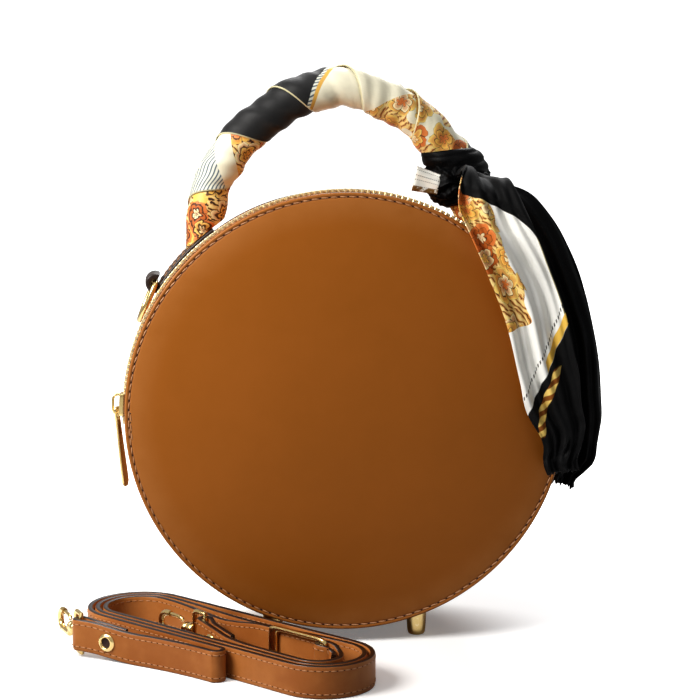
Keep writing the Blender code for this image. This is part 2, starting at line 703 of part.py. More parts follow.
def build_wrap():
    """Scarf band wound round the handle, with a bore for the core."""
    shares = spaced_shares(WRAP_START_SHARE, 1 - WRAP_START_SHARE, WRAP_RINGS)
    outer, length = [], 0.0
    for i, share in enumerate(shares):
        if i:
            length += (handle_point(share) - handle_point(shares[i - 1])).length
        outer.append(handle_ring(share, lambda a, s=share, d=length: wrap_outer_radius(s, d, a)))
    inner_shares = [WRAP_START_SHARE] + [s for s in spaced_shares(0.0, 1.0, HANDLE_RINGS)
                                         if WRAP_START_SHARE < s < 1 - WRAP_START_SHARE]
    inner_shares.append(1 - WRAP_START_SHARE)
    inner = [handle_ring(share, lambda a, s=share: handle_core_radius(s) + WRAP_CLEARANCE)
             for share in inner_shares]
    rings = outer + inner[::-1]
    bm = bmesh.new()
    rows = [[bm.verts.new(point) for point in ring] for ring in rings]
    for row, following in zip(rows, rows[1:] + rows[:1]):
        for i in range(len(row)):
            j = (i + 1) % len(row)
            bm.faces.new((row[i], row[j], following[j], following[i]))
    place_mesh("scarf_wrap", finish_mesh(bm, "scarf_wrap"), PALE_SILK)


def knot_mesh(name, extra):
    """Lobed round knot on the right arm of the handle; extra grows it all over."""
    centre = handle_point(KNOT_SHARE)
    inward = (Vector((0, 0, ZC)) - centre).normalized()
    centre = centre + inward * KNOT_INSET
    bm = bmesh.new()
    bmesh.ops.create_icosphere(bm, subdivisions=3, radius=1.0)
    for vert in bm.verts:
        direction = vert.co.normalized()
        lobe = KNOT_LOBE * math.sin(4 * math.atan2(direction.y, direction.x) + 5 * direction.z)
        radii = Vector(KNOT_RADII)
        vert.co = centre + Vector(d * (r + lobe + extra) for d, r in zip(direction, radii))
    return finish_mesh(bm, name)


def build_knot():
    knot = place_mesh("scarf_knot", knot_mesh("scarf_knot", 0.0), DARK_SILK)
    room = WRAP_RIDGE / 2 + CLEARANCE
    shares = spaced_shares(KNOT_SHARE - KNOT_BORE_SHARE, 1 - WRAP_START_SHARE, 9)

    def radius(share):
        return handle_core_radius(share) + WRAP_CLEARANCE + WRAP_THICKNESS + room
    rings = [handle_ring(share, lambda a, s=share: radius(s)) for share in shares]
    cutter = as_cutter(place_mesh("knot_bore", loft("knot_bore", rings), DARK_SILK))
    combine(knot, cutter, "DIFFERENCE")


# Routes of the hanging tails: across and height as shares of the disc's radius, and how far
# forward as a share of the way from the knot to the front hanging plane.
PALE_ROUTE_SHARES = (
    (0.53, 1.04, 0.00), (0.545, 1.075, 0.30), (0.575, 1.06, 0.62), (0.62, 0.97, 0.90),
    (0.68, 0.82, 1.00), (0.75, 0.64, 1.00), (0.825, 0.45, 1.00), (0.885, 0.25, 1.00),
    (0.94, 0.05, 1.00), (0.975, -0.13, 0.99), (0.99, -0.27, 0.98),
)
DARK_ROUTE_SHARES = (
    (0.60, 1.05, 0.0), (0.70, 0.985, 0.30), (0.80, 0.89, 0.75), (0.92, 0.74, 1.0),
    (1.015, 0.56, 1.0), (1.07, 0.38, 1.0), (1.105, 0.20, 1.0), (1.115, 0.02, 1.0),
    (1.105, -0.14, 1.0), (1.07, -0.28, 1.0), (1.035, -0.39, 1.0),
)


def tail_mesh(name, route_shares, root_y, front_y, width, folds, turn_low):
    """Hanging cloth: a folded strip that turns to face forward once past the turn_low share."""
    route = [Vector((DISC_RADIUS * x, root_y + (front_y - root_y) * f, ZC + DISC_RADIUS * z))
             for x, z, f in route_shares]
    points = smooth_path(route, 2)
    forwards = smooth_path([Vector((f, 0, 0)) for _, _, f in route_shares], 2)
    last = len(points) - 1
    rings = []
    for i, point in enumerate(points):
        tangent = (points[min(i + 1, last)] - points[max(i - 1, 0)]).normalized()
        radial = Vector((point.x, 0, point.z - ZC)).normalized()
        share = blend(forwards[i].x, turn_low, turn_low + TAIL_TURN_SHARE)
        normal = (radial * (1 - share) + Vector((0, -1, 0)) * share)
        normal = (normal - tangent * normal.dot(tangent)).normalized()
        across = tangent.cross(normal)
        along = i / last
        opened = TAIL_ROOT_SHARE + (1 - TAIL_ROOT_SHARE) * blend(along, 0.0, TAIL_WIDE_FROM_SHARE)
        half = width / 2 * opened * (1 - TAIL_GATHER_SHARE * blend(along, TAIL_GATHER_FROM_SHARE, 1.0))
        ring = []
        count = 8
        for j in list(range(count)) + list(range(count - 1, -1, -1)):
            side = 1 if len(ring) < count else -1
            v = 2 * j / (count - 1) - 1
            wave = FOLD_DEPTH * math.sin(folds * math.pi * v + 2.2 * along)
            ring.append(point + across * (half * v) + normal * (wave + side * CLOTH_THICKNESS / 2))
        rings.append(ring)
    return loft(name, rings)


def build_tails():
    pale = (PALE_ROUTE_SHARES, TAIL_ROOT_Y, TAIL_FRONT_Y, PALE_TAIL_WIDTH, 2.0, 0.45)
    dark = (DARK_ROUTE_SHARES, DARK_ROOT_Y, DARK_TAIL_Y, DARK_TAIL_WIDTH, 1.6, -TAIL_TURN_SHARE)
    for name, shape, mat in (("scarf_tail_pale", pale, PALE_SILK), ("scarf_tail_dark", dark, DARK_SILK)):
        tail = place_mesh(name, tail_mesh(name, *shape), mat)
        cutter = as_cutter(place_mesh(name + "_seat", knot_mesh(name + "_seat", CLEARANCE), mat))
        combine(tail, cutter, "DIFFERENCE")


HEADING = Vector((math.cos(HANK_HEADING), math.sin(HANK_HEADING), 0))
OUTWARD = Vector((HEADING.y, -HEADING.x, 0))
HANK_LEFT = Vector((*HANK_CENTRE, 0)) - HEADING * HANK_HALF_LENGTH
HANK_RIGHT = Vector((*HANK_CENTRE, 0)) + HEADING * HANK_HALF_LENGTH
HANK_START = HANK_RUN_SHARE * HAIRPIN_SHARE
BUCKLE_TURN = 2.5 + HANK_RUN_SHARE * 0.71
SHORT_JOIN = 2.5 + HANK_RUN_SHARE * 1.07
SHORT_END = 3.0 + HANK_RUN_SHARE * 0.60
BUCKLE_BAR_X = BUCKLE_LENGTH - BUCKLE_PLATE / 2 - BUCKLE_BAR / 2
BUCKLE_FRONT = -(STRAP_THICKNESS / 2 + STRAP_GAP + BUCKLE_DEPTH / 2)
BUCKLE_FOLD = math.hypot(BUCKLE_BAR, BUCKLE_DEPTH) / 2 + CLEARANCE + STRAP_THICKNESS / 2
TIP_X = BUCKLE_BAR_X - BUCKLE_FOLD - STRAP_THICKNESS / 2 - STRAP_GAP
HANK_END = BUCKLE_TURN + HANK_RUN_SHARE * TIP_X / (2 * HANK_HALF_LENGTH)
EYE_FOLD = EYE_WIRE + CLEARANCE + STRAP_THICKNESS / 2
EYE_LIFT = 2 * EYE_WIRE + STRAP_GAP + CLEARANCE
RAIL_LIFT = BUCKLE_RAIL + STRAP_GAP + CLEARANCE


def drawn_in(turns):
    """How far a turn of the coil is pulled in from its outer neighbour, on the rear side."""
    phase = turns % 1.0 - 0.5
    amount = HANK_SPREAD * (turns - HANK_SPREAD_START)
    if turns < 2.5:
        return amount * math.sin(math.pi * phase / HANK_RUN_SHARE) ** 2 if 0 < phase < HANK_RUN_SHARE else 0.0
    if 0 <= phase:
        return amount * blend(phase, 0.0, HANK_RUN_SHARE / 2) * (1 - blend(phase, HANK_RUN_SHARE, 0.5))
    return 0.0


def hank_point(turns):
    """Point of the coiled strap's middle line: a long loop that winds inwards."""
    phase = turns % 1.0
    radius = HANK_RADIUS - HANK_PITCH * turns - drawn_in(turns)
    run = HANK_RUN_SHARE
    if phase < run:
        return HANK_RIGHT + OUTWARD * radius - HEADING * (2 * HANK_HALF_LENGTH * phase / run)
    if phase < 0.5:
        turn = math.pi * (phase - run) / (0.5 - run)
        return HANK_LEFT + (OUTWARD * math.cos(turn) - HEADING * math.sin(turn)) * radius
    if phase < 0.5 + run:
        share = (phase - 0.5) / run
        return HANK_LEFT + HEADING * (2 * HANK_HALF_LENGTH * share) - OUTWARD * radius
    turn = math.pi * (phase - 0.5 - run) / (0.5 - run)
    return HANK_RIGHT + (-OUTWARD * math.cos(turn) + HEADING * math.sin(turn)) * radius


def hank_frame(turns):
    """Matrix with X along the strap, Y towards the back of the hank and Z up."""
    ahead, behind = hank_point(turns + 0.003), hank_point(turns - 0.003)
    along = (ahead - behind).normalized()
    left = Vector((0, 0, 1)).cross(along)
    matrix = Matrix((along, left, Vector((0, 0, 1)))).transposed().to_4x4()
    matrix.translation = hank_point(turns)
    return matrix


def strap_lift(turns):
    """Height of the strap's lower edge, raised where the buckle's rail passes under it."""
    distance = abs(turns - (BUCKLE_TURN + HANK_END) / 2) * 2 * HANK_HALF_LENGTH / HANK_RUN_SHARE
    return RAIL_LIFT * (1 - blend(distance, BUCKLE_LENGTH * 0.6, BUCKLE_LENGTH * 0.6 + LIFT_LENGTH))


def coil_path(start, end, run_steps=10, bend_steps=11):
    """Points of the coiled run between two turn counts, with the height of its lower edge."""
    stops, nearest_share = [], 0.02
    for half in range(int(2 * end) + 1):
        stops += [half / 2 + HANK_RUN_SHARE * i / run_steps for i in range(run_steps)]
        bend = 0.5 - HANK_RUN_SHARE
        stops += [half / 2 + HANK_RUN_SHARE + bend * i / bend_steps for i in range(bend_steps)]
    inside = [stop for stop in stops if start + nearest_share < stop < end - nearest_share]
    path = []
    for turns in [start] + sorted(inside) + [end]:
        point = hank_point(turns)
        path.append(Vector((point.x, point.y, strap_lift(turns))))
    return path


def free_run():
    """The strap's front run, from its hook end to where it doubles back on the coil."""
    corner = hank_point(HANK_START)
    path = []
    for step in range(10):
        left = 1 - step / 10
        point = corner + OUTWARD * (2 * HAIRPIN_RADIUS + FREE_RUN_SPLAY * left ** 2)
        point = point - HEADING * (FREE_RUN_LENGTH * left)
        point.z = EYE_LIFT * (1 - blend(FREE_RUN_LENGTH * (1 - left), 0.0, LIFT_LENGTH))
        path.append(point)
    for step in range(8):
        turn = math.pi * step / 8
        path.append(corner + OUTWARD * HAIRPIN_RADIUS * (1 + math.cos(turn))
                    + HEADING * HAIRPIN_RADIUS * math.sin(turn))
    return path


def run_normal(run, index, side):
    """Level unit vector square to a run, on its left for side 1 and on its right for side -1."""
    ahead, behind = run[min(index + 1, len(run) - 1)], run[max(index - 1, 0)]
    along = Vector((ahead.x - behind.x, ahead.y - behind.y, 0)).normalized()
    return Vector((-along.y, along.x, 0)) * side


def fold_centre(run, side, radius):
    return run[0] + run_normal(run, 0, side) * radius


def folded_end(run, side, radius, length=FOLD_LENGTH):
    """The turned-back end that comes before a run: its tail, then the bend round a bar."""
    distances = [0.0]
    for a, b in zip(run, run[1:]):
        distances.append(distances[-1] + (b - a).length)
    tail = []
    for step in range(7, 0, -1):
        reach = length * step / 7
        index = next(i for i, d in enumerate(distances) if d >= reach)
        back = (distances[index] - reach) / (distances[index] - distances[index - 1])
        point = run[index].lerp(run[index - 1], back)
        spread = 2 * radius - STRAP_THICKNESS - STRAP_GAP
        offset = STRAP_THICKNESS + STRAP_GAP + spread * (1 - blend(reach, 0.0, FOLD_PINCH_LENGTH))
        tail.append(point + run_normal(run, index, side) * offset)
    normal = run_normal(run, 0, side)
    centre = fold_centre(run, side, radius)
    outward = Vector((run[0].x - run[1].x, run[0].y - run[1].y, 0)).normalized()
    bend = [centre + (normal * math.cos(math.pi * i / 9) + outward * math.sin(math.pi * i / 9)) * radius
            for i in range(9)]
    for point in bend:
        point.z = run[0].z
    return tail + bend


def least_gap(path):
    """Least clear distance between stretches of one strap that aren't neighbours along it."""
    least, reach = HANK_HALF_LENGTH, 4 * STRAP_THICKNESS
    along = [0.0]
    for a, b in zip(path, path[1:]):
        along.append(along[-1] + (b - a).length)
    for i, a in enumerate(path):
        for j in range(i + 1, len(path)):
            if along[j] - along[i] > reach:
                least = min(least, (path[j] - a).length - STRAP_THICKNESS)
    return least


def strap_cutter(name, matrix, radius, depth, owner):
    """A round hole across the strap, at the middle of its width."""
    outline = [(0, -depth), (radius, -depth), (radius, depth), (0, depth)]
    cutter = as_cutter(place_mesh(name, lathe(name, outline, 12), LEATHER))
    cutter.matrix_local = matrix
    combine(owner, cutter, "DIFFERENCE")


def facing_matrix(point, normal, height):
    """Matrix whose Z axis is a level normal, at a height on the strap's middle."""
    side = Vector((0, 0, 1)).cross(normal)
    matrix = Matrix((side, Vector((0, 0, 1)), normal)).transposed().to_4x4()
    matrix.translation = Vector((point.x, point.y, height))
    return matrix


def build_rivet(name, run, side, owner):
    """Gold rivet through both layers of a folded end."""
    index = next(i for i in range(len(run)) if (run[i] - run[0]).length >= RIVET_DISTANCE)
    normal = run_normal(run, index, side)
    height = run[index].z + STRAP_WIDTH / 2
    face = STRAP_THICKNESS / 2 + CLEARANCE
    depth = 2 * STRAP_THICKNESS + STRAP_GAP + 2 * CLEARANCE
    outline = [(0, RIVET_DOME), (RIVET_HEAD * 0.55, RIVET_DOME * 0.85), (RIVET_HEAD, RIVET_DOME * 0.35),
               (RIVET_HEAD, 0), (RIVET_SHANK, 0), (RIVET_SHANK, -depth), (RIVET_BACK, -depth),
               (RIVET_BACK * 0.8, -depth - RIVET_DOME / 2), (0, -depth - RIVET_DOME / 2)]
    rivet = place_mesh(name, lathe(name, outline, 16), GOLD)
    matrix = facing_matrix(run[index] - normal * face, -normal, height)
    rivet.matrix_local = matrix
    strap_cutter(name + "_hole", matrix, RIVET_SHANK + CLEARANCE, 2 * depth, owner)


def turns_before(turns, distance, step=0.001):
    """Turn count that lies a distance back along the coil."""
    walked = 0.0
    while walked < distance:
        walked += (hank_point(turns) - hank_point(turns - step)).length
        turns -= step
    return turns


def build_straps():
    """Long strap with its holes, and the short strap that carries the buckle."""
    across = Vector((0, 0, STRAP_WIDTH))
    run = free_run() + coil_path(HANK_START, HANK_END)
    path = folded_end(run, 1, EYE_FOLD) + run
    print("long strap: least gap to itself {:.2f} mm, length {:.0f} mm".format(
        least_gap(path) * 1000, sum((b - a).length for a, b in zip(path, path[1:])) * 1000))
    long_strap = ribbon("strap_long", path, across, STRAP_THICKNESS, LEATHER)
    build_rivet("strap_rivet_long", run, 1, long_strap)
    turns = BUCKLE_TURN
    for number in range(STRAP_HOLES):
        frame = hank_frame(turns)
        normal = -frame.col[1].to_3d()
        matrix = facing_matrix(frame.translation, normal, strap_lift(turns) + STRAP_WIDTH / 2)
        strap_cutter("strap_hole_{}".format(number + 1), matrix, STRAP_HOLE_RADIUS,
                     (STRAP_THICKNESS + STRAP_GAP) / 2, long_strap)
        turns = turns_before(turns, STRAP_HOLE_SPACING)
    build_hook("snap_hook_a", run, 1, HOOK_A_SWING)

    frame = hank_frame(BUCKLE_TURN)
    bar = frame @ Vector((BUCKLE_BAR_X, BUCKLE_FRONT, 0))
    start = frame @ Vector((BUCKLE_BAR_X, BUCKLE_FRONT + BUCKLE_FOLD, 0))
    start.z = strap_lift(HANK_END)
    middle = [start] + coil_path(SHORT_JOIN, SHORT_END)
    last = sum((b - a).length for a, b in zip(middle, middle[1:]))
    walked = 0.0
    for i, (a, b) in enumerate(zip(list(middle), middle[1:])):
        walked += (b - a).length
        middle[i + 1].z += EYE_LIFT * blend(walked, last - LIFT_LENGTH, last)
        splay = max(1 - (last - walked) / SHORT_SPLAY_LENGTH, 0.0)
        middle[i + 1] -= OUTWARD * (SHORT_SPLAY * splay ** 2)
    back = middle[::-1]
    path = folded_end(middle, -1, BUCKLE_FOLD, BUCKLE_FOLD_LENGTH) + middle + folded_end(back, 1, EYE_FOLD)[::-1]
    short_strap = ribbon("strap_short", path, across, STRAP_THICKNESS, LEATHER)
    print("short strap: least gap to itself {:.2f} mm, length {:.0f} mm".format(
        least_gap(path) * 1000, sum((b - a).length for a, b in zip(path, path[1:])) * 1000))
    build_rivet("strap_rivet_short", back, 1, short_strap)
    build_hook("snap_hook_b", back, 1, HOOK_B_SWING)
    build_buckle(frame)


def build_buckle(frame):
    """Long frame buckle in front of the strap, with a plate and a peg at its left end."""
    low_x, high_x = -BUCKLE_PLATE / 2, BUCKLE_LENGTH - BUCKLE_PLATE / 2
    front, back = BUCKLE_FRONT - BUCKLE_DEPTH / 2, BUCKLE_FRONT + BUCKLE_DEPTH / 2
    buckle = place_mesh("buckle_frame", box("buckle_frame", (low_x, front, 0),
                                            (high_x, back, BUCKLE_HEIGHT)), GOLD)
    window = box("buckle_window", (BUCKLE_PLATE / 2, front - CUT_OVERRUN, BUCKLE_RAIL),
                 (high_x - BUCKLE_BAR, back + CUT_OVERRUN, BUCKLE_HEIGHT - BUCKLE_RAIL))
    cutter = as_cutter(place_mesh("buckle_window", window, GOLD))
    middle = strap_lift(BUCKLE_TURN) + STRAP_WIDTH / 2
    length = STRAP_THICKNESS / 2 - back - CLEARANCE
    outline = [(0, -CUT_OVERRUN / 4), (BUCKLE_PEG, -CUT_OVERRUN / 4), (BUCKLE_PEG, length), (0, length)]
    peg = as_cutter(place_mesh("buckle_peg", lathe("buckle_peg", outline, 10), GOLD))
    peg.matrix_local = frame @ facing_matrix(Vector((0, back, 0)), Vector((0, 1, 0)), middle)
    for obj in (buckle, cutter):
        obj.matrix_local = frame
    combine(buckle, cutter, "DIFFERENCE")
    combine(buckle, peg, "UNION")


def build_hook(name, run, side, swing):
    """Swivel snap hook: an eye in the strap's fold, a turning hook and its sprung gate."""
    centre = fold_centre(run, side, EYE_FOLD)
    outward = Vector((run[0].x - run[1].x, run[0].y - run[1].y, 0)).normalized()
    outward.rotate(Matrix.Rotation(swing, 3, "Z"))
    height = run[0].z + STRAP_WIDTH / 2
    origin = Vector((centre.x, centre.y, height))

    def at(x, z):
        return origin + outward * x + Vector((0, 0, z))

    def along(mesh_name, outline, steps=12):
        mesh = lathe(mesh_name, outline, steps)
        level = Vector((0, 0, 1)).cross(outward)
        matrix = Matrix((level, Vector((0, 0, 1)), outward)).transposed().to_4x4()
        matrix.translation = origin
        mesh.transform(matrix)
        return mesh

    half = STRAP_WIDTH / 2 + STRAP_GAP + EYE_WIRE
    corner = 1.6 * EYE_WIRE
    outline = [(0, -half), (EYE_REACH - corner, -half), (EYE_REACH, -half + corner),
               (EYE_REACH, half - corner), (EYE_REACH - corner, half), (0, half)]
    eye = place_mesh(name + "_eye", wire_mesh(name + "_eye", [at(x, z) for x, z in outline],
                                              EYE_WIRE, closed=True), GOLD, origin)
    boss_end = EYE_REACH + BOSS_LENGTH
    boss = along(name + "_boss", [(0, EYE_REACH), (BOSS_RADIUS, EYE_REACH), (BOSS_RADIUS, boss_end),
                                  (0, boss_end)])
    combine(eye, as_cutter(place_mesh(name + "_boss", boss, GOLD)), "UNION")

    collar_start = boss_end + CLEARANCE
    collar_end = collar_start + COLLAR_LENGTH
    wide, tip = HOOK_HALF_WIDTH, collar_end + HOOK_LENGTH
    bend = []
    for step in range(9):
        turn = math.pi * (step / 8 - 0.5)
        bend.append((tip - wide + wide * math.cos(turn), wide * math.sin(turn)))
    wire = [(collar_end - HOOK_WIRE / 2, 0), (collar_end + HOOK_WIRE, -wide * 0.55),
            (collar_end + 2 * HOOK_WIRE, -wide)] + bend + [(tip - 1.5 * wide, wide)]
    body = place_mesh(name + "_body", wire_mesh(name + "_body", [at(x, z) for x, z in wire], HOOK_WIRE),
                      GOLD, at(collar_start, 0))
    collar = along(name + "_collar", [(0, collar_start), (COLLAR_RADIUS, collar_start),
                                      (COLLAR_RADIUS, collar_end), (0, collar_end)])
    combine(body, as_cutter(place_mesh(name + "_collar", collar, GOLD)), "UNION")

    gate_start = collar_end + GATE_THICKNESS / 2 + CLEARANCE
    gate_end = tip - 1.5 * wide - CLEARANCE
    pivot = at(gate_start, wide * 0.6)
    gate_wire = [pivot, at(gate_start + GATE_THICKNESS, wide * 0.9), at(gate_end, wide)]
    gate = wire_mesh(name + "_gate", gate_wire, GATE_THICKNESS / 2)
    place_mesh(name + "_gate", gate, GOLD, pivot)


def centre_on_floor():
    """Put the handbag's frame so that the whole model stands centred on the origin."""
    bpy.context.view_layer.update()
    graph = bpy.context.evaluated_depsgraph_get()
    low, high = Vector((math.inf,) * 3), Vector((-math.inf,) * 3)
    for obj in PARTS.objects:
        if obj.type != "MESH":
            continue
        shape = obj.evaluated_get(graph)
        for corner in shape.bound_box:
            point = shape.matrix_world @ Vector(corner)
            low = Vector(map(min, low, point))
            high = Vector(map(max, high, point))
    ROOT.location = (-(low.x + high.x) / 2, -(low.y + high.y) / 2, -low.z)
    bpy.context.view_layer.update()
    print("size {:.1f} x {:.1f} x {:.1f} mm, lowest point {:.3f} mm".format(
        *((high - low) * 1000), low.z * 1000))


build_panels()
build_gusset()
build_gusset_lining()
build_base_board()
build_pocket()
build_zip_tapes()
build_zip_teeth()
build_zip_stop()
build_slider()
build_pull()
build_handle()
build_tabs_and_rings()
build_feet()
build_wrap()
build_knot()
build_tails()
build_straps()
centre_on_floor()
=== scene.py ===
"""Round tan leather handbag with a silk scarf round its handle and its strap coiled in front of it."""
import math
import bpy
import bmesh
from mathutils import Matrix, Vector, noise


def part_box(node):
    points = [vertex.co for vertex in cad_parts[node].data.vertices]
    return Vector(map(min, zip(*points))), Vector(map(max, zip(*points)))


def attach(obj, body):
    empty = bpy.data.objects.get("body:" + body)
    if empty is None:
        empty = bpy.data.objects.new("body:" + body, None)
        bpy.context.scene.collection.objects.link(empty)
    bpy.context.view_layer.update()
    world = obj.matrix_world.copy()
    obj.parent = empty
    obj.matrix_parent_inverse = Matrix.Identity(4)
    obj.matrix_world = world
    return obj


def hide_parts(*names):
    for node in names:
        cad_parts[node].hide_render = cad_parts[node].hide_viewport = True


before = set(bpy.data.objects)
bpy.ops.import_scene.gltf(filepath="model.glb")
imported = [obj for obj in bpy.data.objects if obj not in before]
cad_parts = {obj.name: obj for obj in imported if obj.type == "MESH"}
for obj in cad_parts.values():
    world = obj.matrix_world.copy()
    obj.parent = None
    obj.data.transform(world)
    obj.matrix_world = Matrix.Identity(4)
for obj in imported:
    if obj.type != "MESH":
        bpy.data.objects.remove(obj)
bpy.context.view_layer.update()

DISC_RADIUS = 0.105
BODY_DEPTH = 0.080
BACK_TAPER = 0.048
CROWN = 0.0042
PANEL_THICKNESS = 0.0018
GUSSET_RADIUS = 0.1043
GUSSET_THICKNESS = 0.0016
FLANGE_WIDTH = 0.009
GAP = 0.0003
MERGE = 0.000001
JOIN_ANGLE = math.radians(96)
SEAM_Y = BODY_DEPTH / 2 - PANEL_THICKNESS - GAP
STRIP_START = -JOIN_ANGLE + GAP / GUSSET_RADIUS
PANEL_FLAT = 0.1016
PANEL_SEAM_RADIUS = 0.1029
ZIP_Y = -BODY_DEPTH / 2 + 0.012
ZIP_WINDOW = 0.0124
CHAIN_TOP = DISC_RADIUS + 0.0018
CHAIN_BOTTOM = CHAIN_TOP - 0.0020
CHAIN_HALF_WIDTH = 0.0028
ZIP_START = math.radians(-92.5)
ZIP_END = math.radians(90)
TOOTH_PITCH = 0.0028
TAPE_THICKNESS = 0.0006
SLIDER_CLEARANCE, SLIDER_WALL, SLIDER_LENGTH = 0.0004, 0.0009, 0.0105
SLIDER_TOP = CHAIN_TOP + SLIDER_CLEARANCE + SLIDER_WALL
SLIDER_ANGLE = math.radians(-87.5)
TAB_THICKNESS = 0.0030
TAB_WIDTH = 0.016
TAB_SEAT = GUSSET_RADIUS * (1 - BACK_TAPER * (BODY_DEPTH - TAB_WIDTH) / (2 * BODY_DEPTH))
TAB_MID = TAB_SEAT + GAP + TAB_THICKNESS / 2
TAB_TOP = TAB_SEAT + GAP + TAB_THICKNESS
TAB_INNER = math.radians(36)
TAB_OUTER = math.radians(56.4)
RING_WIRE = 0.0014
EYE_RADIUS = RING_WIRE + 0.0004 + TAB_THICKNESS / 2
HANDLE_SPAN = 0.068
HANDLE_BASE = 0.085
HANDLE_RISE = 0.068
HANDLE_POWER = 2 / 1.7
STRAP_WIDTH = 0.015
STRAP_THICKNESS = 0.0026
STRAP_GAP = 0.0006
WRAP_WIDTH = 0.040
WRAP_PITCH = 0.031
WRAP_RADIUS = 0.0090
# the pale tail's black border is folded over it: from LAP_FROM across the width, by LAP_TRAVEL, over LAP_SPAN
LAP_SPAN = (0.13, 0.42)
LAP_FROM, LAP_TRAVEL = -1.3, 2.3
# stitches: pitch, length, width and height
PANEL_STITCH = (0.0044, 0.0036, 0.0008, 0.0008)
FINE_STITCH = (0.0033, 0.0025, 0.0006, 0.0006)
STRAP_STITCH = (0.0033, 0.0025, 0.0006, 0.0005)

FRONT_LOW, FRONT_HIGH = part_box("front_panel")
BACK_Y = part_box("back_panel")[1].y
HUB = Vector(((FRONT_LOW.x + FRONT_HIGH.x) / 2, (FRONT_LOW.y + BACK_Y) / 2, (FRONT_LOW.z + FRONT_HIGH.z) / 2))
ZC = HUB.z
SHIFT = Matrix.Translation((HUB.x, HUB.y, 0))
UP, BACKWARD = Vector((0, 0, 1)), Vector((0, 1, 0))


# Camera, floor and light

def set_camera():
    """The view of the picture: from the left, a little above the disc's middle."""
    data = bpy.data.cameras.new("camera")
    data.lens, data.sensor_width = 109.19, 36
    camera = bpy.data.objects.new("camera", data)
    camera.location = HUB + Vector((-0.0935165, -1.0244626, 0.1784985))
    target = HUB + Vector((0.0012763, -0.04, 0.0306891))
    camera.rotation_euler = (target - camera.location).to_track_quat("-Z", "Y").to_euler()
    bpy.context.scene.collection.objects.link(camera)
    bpy.context.scene.camera = camera


def add_light(name, offset, size, watts, colour=(1, 1, 1)):
    data = bpy.data.lights.new(name, "AREA")
    data.shape, data.size, data.energy, data.color = "DISK", size, watts, colour
    light = bpy.data.objects.new(name, data)
    light.location = HUB + Vector(offset)
    light.rotation_euler = (HUB - light.location).to_track_quat("-Z", "Y").to_euler()
    bpy.context.scene.collection.objects.link(light)


# Node helpers

def add(tree, kind, inputs=None, **settings):
    """A shader node; inputs are sockets to join or values to set."""
    item = tree.nodes.new("ShaderNode" + kind)
    for name, value in settings.items():
        setattr(item, name, value)
    for key, value in (inputs or {}).items():
        feed(tree, item.inputs[key], value)
    return item


def feed(tree, socket, value):
    if isinstance(value, bpy.types.NodeSocket):
        tree.links.new(value, socket)
    else:
        socket.default_value = value


def calc(tree, operation, a, b=0.0):
    return add(tree, "Math", {0: a, 1: b}, operation=operation).outputs[0]


def times(tree, a, b):
    return calc(tree, "MULTIPLY", a, b)


def plus(tree, a, b):
    return calc(tree, "ADD", a, b)


def minus(tree, a, b):
    return calc(tree, "SUBTRACT", a, b)


def linear(tree, value, factor, start):
    """value times factor, plus start."""
    return add(tree, "Math", {0: value, 1: factor, 2: start}, operation="MULTIPLY_ADD").outputs[0]


def ease(tree, value, low, high):
    """0 below low, 1 above high, eased between."""
    item = add(tree, "MapRange", {"Value": value, "From Min": low, "From Max": high}, interpolation_type="SMOOTHSTEP")
    return item.outputs["Result"]


def fade(tree, value, low, high):
    """1 below low, 0 above high, eased between."""
    return minus(tree, 1.0, ease(tree, value, low, high))


def near(tree, value, middle, half, soft):
    """1 where value is within half of middle, falling to 0 over soft."""
    return fade(tree, calc(tree, "ABSOLUTE", minus(tree, value, middle)), half, half + soft)


def sine(tree, value, factor=1.0):
    return calc(tree, "SINE", value if factor == 1.0 else times(tree, value, factor))


def vector_calc(tree, operation, a, b):
    return add(tree, "VectorMath", {0: a, 1: b}, operation=operation).outputs[0]


def enlarged(tree, vector, factor):
    return add(tree, "VectorMath", {0: vector, 3: factor}, operation="SCALE").outputs[0]


def split(tree, vector):
    return add(tree, "SeparateXYZ", {0: vector}).outputs


def cloud(tree, place, scale, detail=2.0):
    """A soft noise, about 0.5 in the middle."""
    return add(tree, "TexNoise", {"Vector": place, "Scale": scale, "Detail": detail}).outputs[0]


def stepped(tree, share, stops):
    """A ramp that keeps each stop's colour or amount until the next one."""
    ramp = add(tree, "ValToRGB", {0: share})
    ramp.color_ramp.interpolation = "CONSTANT"
    elements = ramp.color_ramp.elements
    while len(elements) < len(stops):
        elements.new(0.5)
    for element, (position, value) in zip(elements, stops):
        element.position = position
        element.color = value if isinstance(value, tuple) else (value, value, value, 1)
    return ramp.outputs[0]


def mixed(tree, share, a, b):
    item = add(tree, "Mix", data_type="RGBA")
    for index, value in ((0, share), (6, a), (7, b)):
        feed(tree, item.inputs[index], value)
    return item.outputs[2]


def rgb(r, g, b):
    """A colour given as it looks on screen, 0 to 255."""
    return tuple(((c / 255 + 0.055) / 1.055) ** 2.4 if c > 10 else c / 255 / 12.92 for c in (r, g, b)) + (1.0,)


def grey(level):
    return level, level, level, 1


def new_group(name, inputs, outputs):
    group = bpy.data.node_groups.new(name, "ShaderNodeTree")
    for label, kind, value in inputs:
        socket = group.interface.new_socket(label, in_out="INPUT", socket_type="NodeSocket" + kind)
        if value is not None:
            socket.default_value = value
    for label, kind in outputs:
        group.interface.new_socket(label, in_out="OUTPUT", socket_type="NodeSocket" + kind)
    return group, group.nodes.new("NodeGroupInput").outputs, group.nodes.new("NodeGroupOutput").inputs


def use_group(tree, group, **values):
    item = add(tree, "Group", node_tree=group)
    for key, value in values.items():
        feed(tree, item.inputs[key.replace("_", " ")], value)
    return item.outputs


